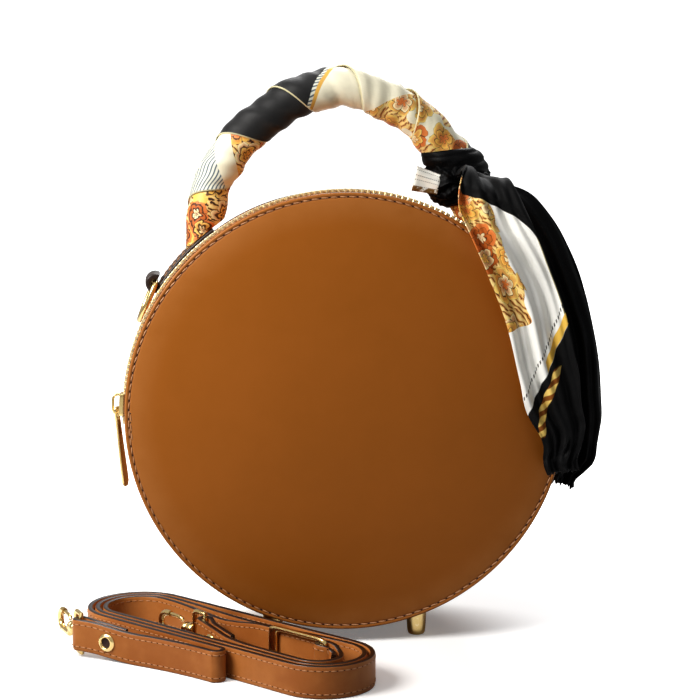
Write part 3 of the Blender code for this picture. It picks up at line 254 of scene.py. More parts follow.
def material(name, roughness, metallic=0.0, **constants):
    mat = bpy.data.materials.new(name)
    mat.use_nodes = True
    tree = mat.node_tree
    shader = tree.nodes["Principled BSDF"]
    shader.inputs["Roughness"].default_value = roughness
    shader.inputs["Metallic"].default_value = metallic
    for key, value in constants.items():
        shader.inputs[key.replace("_", " ")].default_value = value
    return mat, tree, shader.inputs


def bump(tree, sockets, height, strength, distance):
    item = add(tree, "Bump", {"Height": height, "Strength": strength, "Distance": distance})
    tree.links.new(item.outputs["Normal"], sockets["Normal"])


def object_coordinates(tree):
    return add(tree, "TexCoord").outputs["Object"]


def cloth_coordinates(tree):
    """Metres along and across a sheet, from its flat map."""
    return add(tree, "TexCoord").outputs["UV"]


# Shared effects

def make_body_coordinates():
    """Angle round the body's axis, distance from it, and place along it."""
    group, give, take = new_group("body_coordinates", [("Vector", "Vector", None)],
                                  [("Angle", "Float"), ("Radius", "Float"), ("Along Axis", "Float")])
    parts = split(group, vector_calc(group, "SUBTRACT", give["Vector"], HUB))
    feed(group, take["Angle"], calc(group, "ARCTAN2", parts["X"], parts["Z"]))
    square = plus(group, times(group, parts["X"], parts["X"]), times(group, parts["Z"], parts["Z"]))
    narrowing = linear(group, parts["Y"], -BACK_TAPER / BODY_DEPTH, 1 - BACK_TAPER / 2)
    feed(group, take["Radius"], calc(group, "DIVIDE", calc(group, "SQRT", square), narrowing))
    feed(group, take["Along Axis"], parts["Y"])
    return group


def make_leather_grain():
    """Fine pores and soft creases, and a cloudy tone from the dye."""
    group, give, take = new_group("leather_grain", [("Vector", "Vector", None), ("Pore Scale", "Float", 1500.0),
                                                    ("Crease Scale", "Float", 90.0)],
                                  [("Height", "Float"), ("Tone", "Float")])
    place = give["Vector"]
    pores = add(group, "TexVoronoi", {"Vector": place, "Scale": give["Pore Scale"]},
                feature="SMOOTH_F1").outputs["Distance"]
    creases = add(group, "TexNoise", {"Vector": place, "Scale": give["Crease Scale"], "Detail": 5.0,
                                      "Roughness": 0.6}).outputs[0]
    dye = cloud(group, place, 16.0, 4.0)
    feed(group, take["Height"], plus(group, times(group, pores, 0.35), creases))
    feed(group, take["Tone"], plus(group, times(group, dye, 0.7), times(group, creases, 0.3)))
    return group


def make_weave():
    """Plain weave from a place in metres along and across the cloth."""
    group, give, take = new_group("thread_weave", [("Along", "Float", 0.0), ("Across", "Float", 0.0),
                                                   ("Thread Pitch", "Float", 0.0006)],
                                  [("Height", "Float"), ("Tone", "Float")])
    warp, weft = (sine(group, calc(group, "DIVIDE", give[way], give["Thread Pitch"]), math.pi)
                  for way in ("Along", "Across"))
    over = times(group, warp, weft)
    feed(group, take["Height"], calc(group, "ABSOLUTE", over))
    feed(group, take["Tone"], linear(group, over, 0.5, 0.5))
    return group


def make_metal_wear():
    """Handling marks: hairline scratches, a soft haze and a change of tone."""
    group, give, take = new_group("metal_wear", [("Vector", "Vector", None)],
                                  [("Haze", "Float"), ("Tone", "Float"), ("Scratches", "Float")])
    stretched = add(group, "Mapping", {"Vector": give["Vector"], "Rotation": (0.4, 0.3, 0.5),
                                       "Scale": (1.0, 14.0, 1.0)}).outputs[0]
    feed(group, take["Haze"], cloud(group, give["Vector"], 220.0, 4.0))
    feed(group, take["Tone"], cloud(group, give["Vector"], 45.0))
    feed(group, take["Scratches"], ease(group, cloud(group, stretched, 400.0, 3.0), 0.55, 0.75))
    return group


FLOWERS_PER_METRE = 80.0
PETAL_TONES = ((0.0, rgb(250, 216, 122)), (0.30, rgb(228, 138, 74)), (0.48, rgb(255, 240, 190)),
               (0.74, rgb(244, 196, 98)), (0.90, rgb(190, 104, 44)))
INK = rgb(58, 34, 20)


def make_scarf_print():
    """Printed silk: ringed flowers with strokes between them, grey feathers, a plain ground and a pale hem."""
    group, give, take = new_group("scarf_print", [("Vector", "Vector", None), ("Width", "Float", 0.04),
                                                  ("Ground", "Color", (1, 1, 1, 1)), ("Petal Share", "Float", 0.5),
                                                  ("Feather Share", "Float", 0.0), ("Darkness", "Float", 0.0)],
                                  [("Color", "Color")])
    place, darkness = give["Vector"], give["Darkness"]
    # flowers: rings of petals round scattered middles, bent by a noise, each ring in its own tone
    sway = add(group, "TexNoise", {"Vector": place, "Scale": 170.0, "Detail": 2.5}).outputs["Color"]
    sway = enlarged(group, vector_calc(group, "SUBTRACT", sway, (0.5, 0.5, 0.5)), 0.0052)
    counted = enlarged(group, vector_calc(group, "ADD", place, sway), FLOWERS_PER_METRE)
    cells = add(group, "TexVoronoi", {"Vector": counted, "Scale": 1.0, "Randomness": 0.8},
                voronoi_dimensions="2D").outputs
    distance, middle = cells["Distance"], cells["Position"]
    local = split(group, vector_calc(group, "SUBTRACT", counted, middle))
    chance = add(group, "SeparateColor", {0: cells["Color"]}).outputs
    turn = linear(group, calc(group, "ARCTAN2", local["Y"], local["X"]), 2.5, times(group, chance[2], 6.0))
    lobes = calc(group, "ABSOLUTE", sine(group, linear(group, distance, 4.0, turn)))
    reach = linear(group, lobes, -0.13, distance)
    rings = linear(group, reach, 5.2, 0.72)
    within = calc(group, "FRACT", rings)
    tone = calc(group, "FRACT", linear(group, calc(group, "FLOOR", rings), 0.37, chance[0]))
    petal = mixed(group, times(group, ease(group, within, 0.95, 0.3), 0.55), stepped(group, tone, PETAL_TONES),
                  rgb(206, 108, 48))
    gap = times(group, fade(group, lobes, 0.04, 0.16), ease(group, rings, 1.0, 1.2))
    rim = fade(group, minus(group, within, darkness), 0.07, 0.13)
    petal = mixed(group, times(group, calc(group, "MAXIMUM", gap, rim), 0.92), petal, INK)
    # filling between the flowers: bent strokes of gold and brown
    stroke = sine(group, linear(group, local["X"], 0.6, local["Y"]), 26.0)
    filling = mixed(group, ease(group, stroke, -0.6, 0.9), rgb(250, 222, 150), rgb(206, 140, 74))
    filling = mixed(group, ease(group, plus(group, stroke, darkness), 0.88, 0.98), filling, INK)
    share = minus(group, give["Petal Share"], 1.0)
    cover = ease(group, plus(group, cloud(group, place, 60.0, 1.5), share), 0.03, 0.032)
    colour = mixed(group, cover, give["Ground"], filling)
    at_middle = cloud(group, enlarged(group, middle, 1 / FLOWERS_PER_METRE), 60.0, 1.5)
    chosen = times(group, ease(group, plus(group, at_middle, share), -0.001, 0.001), fade(group, reach, 0.44, 0.45))
    colour = mixed(group, chosen, colour, petal)
    # feathers: fine grey lines inside long soft patches
    drawn = add(group, "Mapping", {"Vector": place, "Rotation": (0.0, 0.0, 0.5), "Scale": (22.0, 70.0, 1.0)}).outputs[0]
    patch = cloud(group, drawn, 1.0, 1.0)
    along, across = split(group, place)[:2]
    quill = sine(group, linear(group, linear(group, along, -1.82, across), 1900.0, times(group, patch, 24.0)))
    lines = mixed(group, ease(group, quill, -0.2, 0.9), rgb(228, 228, 212), rgb(84, 100, 110))
    feathered = plus(group, patch, minus(group, give["Feather Share"], 1.0))
    colour = mixed(group, ease(group, feathered, -0.004, 0.004), colour, lines)
    edge = calc(group, "MINIMUM", across, minus(group, give["Width"], across))
    colour = mixed(group, fade(group, edge, 0.0005, 0.0007), colour, rgb(206, 198, 160))
    feed(group, take["Color"], colour)
    return group


BODY_COORDINATES = make_body_coordinates()
LEATHER_GRAIN = make_leather_grain()
THREAD_WEAVE = make_weave()
METAL_WEAR = make_metal_wear()
SCARF_PRINT = make_scarf_print()


# Materials

def leather(name, dark, light, roughness, rim=0.0):
    """Smooth tanned leather; rim is how much lighter it is near the disc's edge: a painted highlight where the domed
    edge catches the light, and leather lightened by rubbing there.
    """
    mat, tree, sockets = material(name, roughness, Specular_IOR_Level=0.32)
    place = object_coordinates(tree)
    grain = use_group(tree, LEATHER_GRAIN, Vector=place)
    colour = mixed(tree, ease(tree, grain["Tone"], 0.32, 0.68), dark, light)
    if rim:
        body = use_group(tree, BODY_COORDINATES, Vector=place)
        # painted highlight round the disc's edge, partly leather lightened by rubbing there
        rim_highlight_and_rub = times(tree, ease(tree, body["Radius"], 0.088, 0.101), rim)
        rim_highlight_and_rub = times(tree, rim_highlight_and_rub, ease(tree, grain["Tone"], 0.2, 0.6))
        colour = mixed(tree, rim_highlight_and_rub, colour, rgb(186, 126, 72))
        # painted shade: a darker line along the seam's recessed groove
        groove = near(tree, body["Radius"], PANEL_SEAM_RADIUS, 0.0002, 0.0005)
        colour = mixed(tree, groove, colour, rgb(118, 64, 26))
    feed(tree, sockets["Base Color"], colour)
    feed(tree, sockets["Roughness"], linear(tree, grain["Tone"], 0.22, roughness - 0.11))
    bump(tree, sockets, grain["Height"], 0.25, 0.00018)
    return mat


def mottled(name, roughness, scale, detail, dark, light, depth=0.0):
    """A finish that varies between two tones; depth is how rough it feels."""
    mat, tree, sockets = material(name, roughness)
    drift = cloud(tree, object_coordinates(tree), scale, detail)
    feed(tree, sockets["Base Color"], mixed(tree, drift, dark, light))
    if depth:
        bump(tree, sockets, drift, depth, 0.0002)
    return mat


def gold(name, dark, light, roughness, metallic=1.0):
    mat, tree, sockets = material(name, roughness, metallic=metallic)
    wear = use_group(tree, METAL_WEAR, Vector=object_coordinates(tree))
    colour = mixed(tree, wear["Tone"], dark, light)
    colour = mixed(tree, times(tree, wear["Scratches"], 0.35), colour, rgb(250, 240, 214))
    feed(tree, sockets["Base Color"], colour)
    feed(tree, sockets["Roughness"], linear(tree, wear["Haze"], 0.16, roughness - 0.08))
    bump(tree, sockets, wear["Scratches"], 0.12, 0.00005)
    return mat


def zip_tape_cloth():
    mat, tree, sockets = material("zip_tape_cloth", 0.8, Sheen_Weight=0.2)
    body = use_group(tree, BODY_COORDINATES, Vector=object_coordinates(tree))
    weave = use_group(tree, THREAD_WEAVE, Along=times(tree, body["Angle"], GUSSET_RADIUS),
                      Across=body["Along Axis"], Thread_Pitch=0.0005)
    feed(tree, sockets["Base Color"], mixed(tree, weave["Tone"], rgb(128, 78, 40), rgb(176, 116, 66)))
    bump(tree, sockets, weave["Height"], 0.5, 0.0002)
    return mat


def woven(name, dark, light, pitch):
    mat, tree, sockets = material(name, 0.85)
    parts = split(tree, object_coordinates(tree))
    weave = use_group(tree, THREAD_WEAVE, Along=plus(tree, parts["X"], parts["Y"]), Across=parts["Z"],
                      Thread_Pitch=pitch)
    feed(tree, sockets["Base Color"], mixed(tree, weave["Tone"], dark, light))
    bump(tree, sockets, weave["Height"], 0.4, 0.0002)
    return mat


IVORY, BLACK, GILT = rgb(246, 240, 214), rgb(5, 5, 6), rgb(226, 176, 84)
WRAP_SPAN = 0.48
WRAP_SLANT = 0.39
# what the wound scarf shows from each place on, in millimetres along it
WRAP_GROUNDS = ((0, rgb(240, 196, 96)), (75, IVORY), (135, BLACK), (223.4, rgb(204, 140, 66)), (224.6, BLACK),
                (227, IVORY), (229.4, GILT), (231.4, IVORY), (392, BLACK), (430, IVORY))
WRAP_PETALS = ((0, 0.58), (75, 0.0), (112, 0.9), (135, 0.0), (299, 0.62), (378, 0.9), (392, 0.0), (430, 0.5))
WRAP_FEATHERS = ((0, 0.0), (75, 0.56), (103, 0.0), (227, 0.62), (229.4, 0.0))
WRAP_DARKNESS = ((0, 0.30), (75, 0.0), (112, 0.15), (135, 0.0))


def wrap_silk():
    """Glossy printed silk of the wound scarf, whose fields meet on a slant."""
    mat, tree, sockets = material("wrap_silk", 0.34, Sheen_Weight=0.15, Sheen_Roughness=0.4, Specular_IOR_Level=0.4)
    place = cloth_coordinates(tree)
    parts = split(tree, place)
    slanted = linear(tree, minus(tree, parts["Y"], WRAP_WIDTH / 2), WRAP_SLANT, parts["X"])
    share = calc(tree, "DIVIDE", slanted, WRAP_SPAN)
    ground, petals, feathers, darkness = (
        stepped(tree, share, [(position / (1000 * WRAP_SPAN), value) for position, value in stops])
        for stops in (WRAP_GROUNDS, WRAP_PETALS, WRAP_FEATHERS, WRAP_DARKNESS))
    print_ = use_group(tree, SCARF_PRINT, Vector=place, Width=WRAP_WIDTH, Ground=ground, Petal_Share=petals,
                       Feather_Share=feathers, Darkness=darkness)
    weave = use_group(tree, THREAD_WEAVE, Along=plus(tree, parts["X"], parts["Y"]), Across=parts["Y"],
                      Thread_Pitch=0.00035)
    shade = times(tree, weave["Tone"], 0.10)
    feed(tree, sockets["Base Color"], mixed(tree, shade, print_["Color"], rgb(30, 20, 15)))
    rumple = cloud(tree, object_coordinates(tree), 110.0, 3.0)
    feed(tree, sockets["Roughness"], linear(tree, rumple, 0.16, linear(tree, print_["Color"], -0.26, 0.52)))
    bump(tree, sockets, plus(tree, times(tree, weave["Height"], 0.08), rumple), 0.4, 0.0005)
    return mat


def plain_black_silk():
    """Soft black silk with small threads that catch the light."""
    mat, tree, sockets = material("plain_black_silk", 0.5, Specular_IOR_Level=0.10)
    place = object_coordinates(tree)
    rumple, threads = cloud(tree, place, 130.0, 4.0), cloud(tree, place, 1400.0)
    feed(tree, sockets["Base Color"], mixed(tree, ease(tree, threads, 0.55, 0.8), rgb(4, 4, 5), rgb(24, 24, 27)))
    feed(tree, sockets["Roughness"], linear(tree, rumple, 0.25, 0.38))
    bump(tree, sockets, linear(tree, threads, 0.2, rumple), 0.6, 0.0006)
    return mat


def dotted_silk():
    """The pale fold of the knot: white silk with rows of small dark dots and a brown edge."""
    mat, tree, sockets = material("dotted_silk", 0.5, Sheen_Weight=0.1)
    place = cloth_coordinates(tree)
    parts = split(tree, place)
    row, dot = (minus(tree, calc(tree, "FRACT", calc(tree, "DIVIDE", parts[way], pitch)), 0.5)
                for way, pitch in (("Y", 0.0024), ("X", 0.0011)))
    away = calc(tree, "SQRT", plus(tree, times(tree, times(tree, row, row), 4.8), times(tree, dot, dot)))
    colour = mixed(tree, fade(tree, away, 0.18, 0.28), rgb(255, 253, 244), rgb(40, 34, 34))
    patch = cloud(tree, place, 260.0)
    edge = times(tree, near(tree, parts["Y"], 0.0240, 0.0034, 0.0008), ease(tree, patch, 0.42, 0.5))
    feed(tree, sockets["Base Color"], mixed(tree, edge, colour, rgb(122, 88, 40)))
    feed(tree, sockets["Roughness"], linear(tree, patch, 0.2, 0.3))
    bump(tree, sockets, patch, 0.3, 0.0004)
    return mat


def pale_tail_silk():
    """The pale tail: petals down its left side, a black border that crosses it at the top, black at its end."""
    width, length = 0.034, 0.19
    mat, tree, sockets = material("pale_tail_silk", 0.34, Specular_IOR_Level=0.18)
    place = cloth_coordinates(tree)
    parts = split(tree, place)
    u = calc(tree, "DIVIDE", parts["X"], length)
    w = linear(tree, parts["Y"], -2.0 / width, 1.0)
    wander = linear(tree, cloud(tree, place, 40.0), 0.8, -0.4)
    petals = minus(tree, 0.86, times(tree, ease(tree, plus(tree, w, wander), -0.35, 0.25), 0.86))
    petals = times(tree, petals, fade(tree, u, 0.56, 0.58))
    print_ = use_group(tree, SCARF_PRINT, Vector=place, Width=1.0, Ground=rgb(255, 254, 248), Petal_Share=petals)
    over = plus(tree, times(tree, ease(tree, u, *LAP_SPAN), LAP_TRAVEL), LAP_FROM)
    border = ease(tree, minus(tree, w, over), -0.03, 0.0)
    colour = mixed(tree, border, print_["Color"], BLACK)
    # the end: black on a slant, with a dotted line, a gold band at its right and a twisted rope across it
    slant = linear(tree, w, 0.08, u)
    dots = ease(tree, sine(tree, parts["Y"], 4800.0), 0.0, 0.4)
    colour = mixed(tree, times(tree, near(tree, slant, 0.632, 0.003, 0.001), dots), colour, rgb(50, 46, 44))
    band = times(tree, near(tree, slant, 0.658, 0.010, 0.002), ease(tree, w, -0.05, 0.0))
    colour = mixed(tree, band, colour, rgb(240, 196, 92))
    end = ease(tree, slant, 0.668, 0.671)
    colour = mixed(tree, end, colour, BLACK)
    across_rope = minus(tree, linear(tree, u, -9.6, 6.78), w)
    strand = sine(tree, linear(tree, w, 0.02, u), 260.0)
    rope = mixed(tree, ease(tree, strand, -0.5, 0.1), rgb(140, 84, 34), rgb(244, 210, 120))
    window = times(tree, ease(tree, u, 0.665, 0.67), fade(tree, u, 0.80, 0.81))
    colour = mixed(tree, times(tree, near(tree, across_rope, 0.0, 0.14, 0.03), window), colour, rope)
    feed(tree, sockets["Base Color"], colour)
    rumple = cloud(tree, object_coordinates(tree), 110.0, 3.0)
    rough = times(tree, calc(tree, "MAXIMUM", border, end), 0.35)
    feed(tree, sockets["Roughness"], plus(tree, linear(tree, rumple, 0.16, 0.28), rough))
    bump(tree, sockets, rumple, 0.4, 0.0005)
    return mat


TAB_LEATHER = leather("dark_tab_leather", rgb(26, 17, 12), rgb(56, 38, 27), 0.4)
LEATHER = leather("tan_leather", rgb(152, 88, 24), rgb(174, 106, 38), 0.5)
# rim=0.35: a painted highlight round the disc's edge, and leather lightened by rubbing
PANEL_LEATHER = leather("tan_panel_leather", rgb(157, 92, 21), rgb(163, 96, 26), 0.5, rim=0.35)
STRAP_LEATHER = leather("strap_leather", rgb(156, 92, 40), rgb(190, 124, 66), 0.48)
EDGE = mottled("edge_paint", 0.34, 260.0, 3.0, rgb(22, 12, 8), rgb(46, 25, 15), 0.2)
THREAD = mottled("waxed_thread", 0.55, 1500.0, 2.0, rgb(156, 100, 62), rgb(214, 164, 116), 0.4)
# needle holes: dark marks that are painted shade inside the holes
HOLE_SHADE = mottled("needle_hole_shade", 0.8, 900.0, 2.0, rgb(24, 12, 8), rgb(52, 26, 14))
GOLD = gold("pale_gold", rgb(206, 174, 108), rgb(238, 214, 156), 0.20)
TEETH_GOLD = gold("teeth_gold", rgb(250, 226, 170), rgb(255, 246, 214), 0.30, 0.8)
TAPE = zip_tape_cloth()
LINING = woven("beige_lining", rgb(168, 146, 112), rgb(206, 186, 152), 0.0006)
BOARD = woven("grey_board", rgb(96, 92, 88), rgb(124, 120, 114), 0.0012)
WRAP_SILK = wrap_silk()
BLACK_SILK = plain_black_silk()
DOTTED_SILK = dotted_silk()
PALE_SILK = pale_tail_silk()


# Mesh helpers

def finish_piece(name, bm, materials, body, nodes=(), sharp=50):
    """Turn a bmesh in the bag's own frame into a piece of the scene, shaded smooth below the sharp angle."""
    mesh = bpy.data.meshes.new(name)
    bm.to_mesh(mesh)
    bm.free()
    mesh.transform(SHIFT)
    for mat in materials:
        mesh.materials.append(mat)
    mesh.shade_smooth()
    mesh.set_sharp_from_angle(angle=math.radians(sharp))
    obj = bpy.data.objects.new(name, mesh)
    bpy.context.scene.collection.objects.link(obj)
    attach(obj, body)
    if nodes:
        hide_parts(*nodes)
    return obj


def surface(columns, rows, place, size=(1.0, 1.0), close=False):
    """A grid whose points are set by place(u, v), with a flat map of the given size."""
    bm = bmesh.new()
    bmesh.ops.create_grid(bm, x_segments=columns, y_segments=rows, size=0.5)
    layer = bm.loops.layers.uv.new("UVMap")
    for face in bm.faces:
        for loop in face.loops:
            loop[layer].uv = ((loop.vert.co.x + 0.5) * size[0], (loop.vert.co.y + 0.5) * size[1])
    for vert in bm.verts:
        vert.co = place(min(max(vert.co.x + 0.5, 0.0), 1.0), min(max(vert.co.y + 0.5, 0.0), 1.0))
    if close:
        bmesh.ops.remove_doubles(bm, verts=bm.verts, dist=MERGE)
    bmesh.ops.recalc_face_normals(bm, faces=bm.faces)
    return bm


def capped(bm):
    """Close the open ends and turn every face outwards."""
    bmesh.ops.holes_fill(bm, edges=[edge for edge in bm.edges if edge.is_boundary])
    bmesh.ops.recalc_face_normals(bm, faces=bm.faces)
    return bm


def soften(bm, offset, segments, edges=None):
    """Round the given edges, or else every sharp one."""
    edges = edges or [edge for edge in bm.edges if edge.calc_face_angle(0.0) > 1.0]
    bmesh.ops.bevel(bm, geom=edges, offset=offset, affect="EDGES", segments=segments, profile=0.5, material=-1)


def add_thickness(obj, thickness):
    skin = obj.modifiers.new("cloth", "SOLIDIFY")
    skin.thickness, skin.offset = thickness, 0.0


def power(value, exponent):
    """A power that keeps the sign: small exponents square a circle up."""
    return math.copysign(abs(value) ** exponent, value)


def frame_matrix(x, y, z, place):
    """A place with its own three directions."""
    matrix = Matrix((x, y, z)).transposed().to_4x4()
    matrix.translation = place
    return matrix


def radial_at(angle):
    return Vector((math.sin(angle), 0, math.cos(angle)))


def from_axis(point):
    """Distance from the body's axis."""
    return math.hypot(point.x, point.z - ZC)


def taper(y):
    """The body narrows towards its back."""
    return 1 - BACK_TAPER * (y + BODY_DEPTH / 2) / BODY_DEPTH


def taper_body(bm):
    for vert in bm.verts:
        share = taper(vert.co.y)
        vert.co = Vector((vert.co.x * share, vert.co.y, ZC + (vert.co.z - ZC) * share))


def spun(outline, start=0.0, sweep=2 * math.pi, steps=240, closed=True):
    """Turn a (y, radius) outline about the body's axis."""
    whole = sweep >= 2 * math.pi
    bm = bmesh.new()
    verts = [bm.verts.new((r * math.sin(start), y, ZC + r * math.cos(start))) for y, r in outline]
    pairs = zip(verts, verts[1:] + verts[:1]) if closed else zip(verts, verts[1:])
    edges = [bm.edges.new(pair) for pair in pairs]
    bmesh.ops.spin(bm, geom=verts + edges, cent=(0, 0, ZC), axis=(0, 1, 0), angle=sweep, steps=steps,
                   use_merge=whole)
    if not whole:
        bmesh.ops.edgeloop_fill(bm, edges=[edge for edge in bm.edges if edge.is_boundary])
    bmesh.ops.remove_doubles(bm, verts=bm.verts, dist=MERGE)
    bmesh.ops.recalc_face_normals(bm, faces=bm.faces)
    return bm


def lathed(bm, outline, matrix, steps=40):
    """Turn a (radius, z) outline about Z, into bm, then place it by the matrix."""
    verts = [bm.verts.new((r, 0, z)) for r, z in outline]
    edges = [bm.edges.new(pair) for pair in zip(verts, verts[1:])]
    bmesh.ops.spin(bm, geom=verts + edges, cent=(0, 0, 0), axis=(0, 0, 1), angle=2 * math.pi, steps=steps,
                   use_merge=True)
    found = set(verts)
    stack = list(verts)
    while stack:
        for edge in stack.pop().link_edges:
            for vert in edge.verts:
                if vert not in found:
                    found.add(vert)
                    stack.append(vert)
    bmesh.ops.transform(bm, matrix=matrix, verts=list(found))
    bmesh.ops.remove_doubles(bm, verts=list(found), dist=MERGE)


def wire(bm, points, radius, closed=False, sides=4):
    """Add a round wire along points to bm."""
    curve = bpy.data.curves.new("wire", "CURVE")
    curve.dimensions = "3D"
    curve.bevel_depth = radius
    curve.bevel_resolution = sides
    curve.use_fill_caps = not closed
    spline = curve.splines.new("POLY")
    spline.points.add(len(points) - 1)
    for target, point in zip(spline.points, points):
        target.co = (*point, 1.0)
    spline.use_cyclic_u = closed
    holder = bpy.data.objects.new("wire", curve)
    bpy.context.scene.collection.objects.link(holder)
    bpy.context.view_layer.update()
    mesh = bpy.data.meshes.new_from_object(holder.evaluated_get(bpy.context.evaluated_depsgraph_get()))
    bpy.data.objects.remove(holder, do_unlink=True)
    bpy.data.curves.remove(curve)
    bm.from_mesh(mesh)
    bpy.data.meshes.remove(mesh)


def welded(bm):
    bmesh.ops.remove_doubles(bm, verts=bm.verts, dist=MERGE)
    bmesh.ops.recalc_face_normals(bm, faces=bm.faces)
    return bm


def smooth_path(points, per_span):
    """A smooth run of points through the given ones."""
    result = []
    for i in range(len(points) - 1):
        p1, p2 = Vector(points[i]), Vector(points[i + 1])
        p0 = Vector(points[i - 1]) if i else 2 * p1 - p2
        p3 = Vector(points[i + 2]) if i + 2 < len(points) else 2 * p2 - p1
        for step in range(per_span):
            t = step / per_span
            result.append(0.5 * (2 * p1 + (p2 - p0) * t + (2 * p0 - 5 * p1 + 4 * p2 - p3) * t * t
                                 + (3 * p1 - p0 - 3 * p2 + p3) * t ** 3))
    result.append(Vector(points[-1]))
    return result


def rise(value, low, high):
    t = min(max((value - low) / (high - low), 0.0), 1.0)
    return t * t * (3 - 2 * t)


def pattern_mesh(name, bm, index=0):
    """A small shape that is repeated many times."""
    for face in bm.faces:
        face.material_index = index
    mesh = bpy.data.meshes.new(name)
    bm.to_mesh(mesh)
    bm.free()
    return mesh


def add_copy(bm, pattern, matrix):
    copy = pattern.copy()
    copy.transform(matrix)
    bm.from_mesh(copy)
    bpy.data.meshes.remove(copy)


def make_stitch_pattern(name, index):
    bm = bmesh.new()
    bmesh.ops.create_uvsphere(bm, u_segments=6, v_segments=4, radius=0.5)
    return pattern_mesh(name, bm, index)


STITCH = make_stitch_pattern("stitch", 0)
PRICK = make_stitch_pattern("prick", 1)


def add_stitch(bm, pattern, point, along, normal, length, width, height):
    """One oval stitch or needle hole, half sunk in the leather."""
    add_copy(bm, pattern, frame_matrix(normal.cross(along) * width, normal * height, along * length, point))


def add_seam(bm, path, normals, stitch, slant=0.0):
    """Stitches along a path with needle holes between them, coloured dark as painted shade inside the holes."""
    pitch, length, width, height = stitch
    walked = pitch / 2
    for i in range(1, len(path)):
        a, b = Vector(path[i - 1]), Vector(path[i])
        span = (b - a).length
        while walked <= span:
            t = walked / span
            along = (b - a).normalized()
            normal = normals[i].normalized()
            normal = (normal - along * normal.dot(along)).normalized()
            turned_along = Matrix.Rotation(slant, 3, normal) @ along
            point = a.lerp(b, t)
            add_stitch(bm, STITCH, point, turned_along, normal, length, width, height)
            add_stitch(bm, PRICK, point + along * pitch / 2, along, normal, width * 1.05, width, height * 0.35)
            walked += pitch
        walked -= span


def circle_path(radius, y, start, sweep, steps):
    angles = [start + sweep * i / steps for i in range(steps + 1)]
    return [Vector((radius * math.sin(angle), y, ZC + radius * math.cos(angle))) for angle in angles]


# Body

# from the flat of the face over the groove of the seam and round the rim: (height over the face, radius)
RIM_OUTLINE = (
    (-0.00002, 0.1017), (-0.00012, 0.1022), (-0.00032, 0.1026), (-0.00040, 0.1029), (-0.00034, 0.1032),
    (-0.00010, 0.1036), (-0.00002, 0.1040), (-0.00008, 0.1044), (-0.00026, 0.1047), (-0.00050, 0.10488),
    (-0.00060, 0.10490), (-0.00075, 0.10500), (-0.00110, 0.10504), (-0.00145, 0.10500), (-0.00165, 0.1047))
EDGE_RADIUS, EDGE_DEPTH = 0.1046, 0.00055
# the panel's seam and the short run that laps its end: radius, depth, start, sweep, steps and slant
PANEL_SEAMS = ((PANEL_SEAM_RADIUS, 0.00030, -1.62, 2 * math.pi, 360, 0.10),
               (0.1020, 0.00012, -1.68, 0.13, 30, -0.10))
SEAM_PROUD = 0.00005
JOIN_SEAM_INSETS = (0.028, 0.05)


def dome(share):
    return CROWN * (1 - share ** 2.4)


def build_panel(side, sign):
    """Round panel: domed face, seam in a shallow groove close to the rim, painted edge."""
    face = sign * BODY_DEPTH / 2
    outline = [(face + sign * dome(i / 26), PANEL_FLAT * i / 26) for i in range(26)]
    outline += [(face + sign * y, r) for y, r in RIM_OUTLINE]
    outline += [(face - sign * (PANEL_THICKNESS - dome(i / 8)), PANEL_FLAT * i / 8) for i in range(8, -1, -1)]
    bm = spun(outline, steps=300, closed=False)
    for item in bm.faces:
        centre = item.calc_center_median()
        if from_axis(centre) > EDGE_RADIUS and (face - centre.y) * sign > EDGE_DEPTH:
            item.material_index = 1
    taper_body(bm)
    finish_piece(side + "_panel_leather", bm, [PANEL_LEATHER, EDGE], "bag", [side + "_panel"])
    seam = bmesh.new()
    for radius, depth, start, sweep, steps, slant in PANEL_SEAMS:
        path = circle_path(radius, face - sign * depth, start, sweep, steps)
        add_seam(seam, path, [Vector((0, sign, 0))] * len(path), PANEL_STITCH, slant * sign)
    taper_body(seam)
    finish_piece(side + "_panel_seam", seam, [THREAD, HOLE_SHADE], "bag")


def strip_outline(low_y, high_y, low_flange, high_flange):
    """Rounded outline of a gusset strip in (y, radius)."""
    outer, inner, flange = GUSSET_RADIUS, GUSSET_RADIUS - GUSSET_THICKNESS, GUSSET_RADIUS - FLANGE_WIDTH
    soft = 0.0004
    points = [(low_y, outer - soft), (low_y + soft * 0.3, outer - soft * 0.3), (low_y + soft, outer)]
    points += [(high_y - soft, outer), (high_y - soft * 0.3, outer - soft * 0.3), (high_y, outer - soft)]
    if high_flange:
        points += [(high_y, flange), (high_y - GUSSET_THICKNESS, flange), (high_y - GUSSET_THICKNESS, inner)]
    else:
        points += [(high_y, inner)]
    if low_flange:
        points += [(low_y + GUSSET_THICKNESS, inner), (low_y + GUSSET_THICKNESS, flange), (low_y, flange)]
    else:
        points += [(low_y, inner)]
    return points


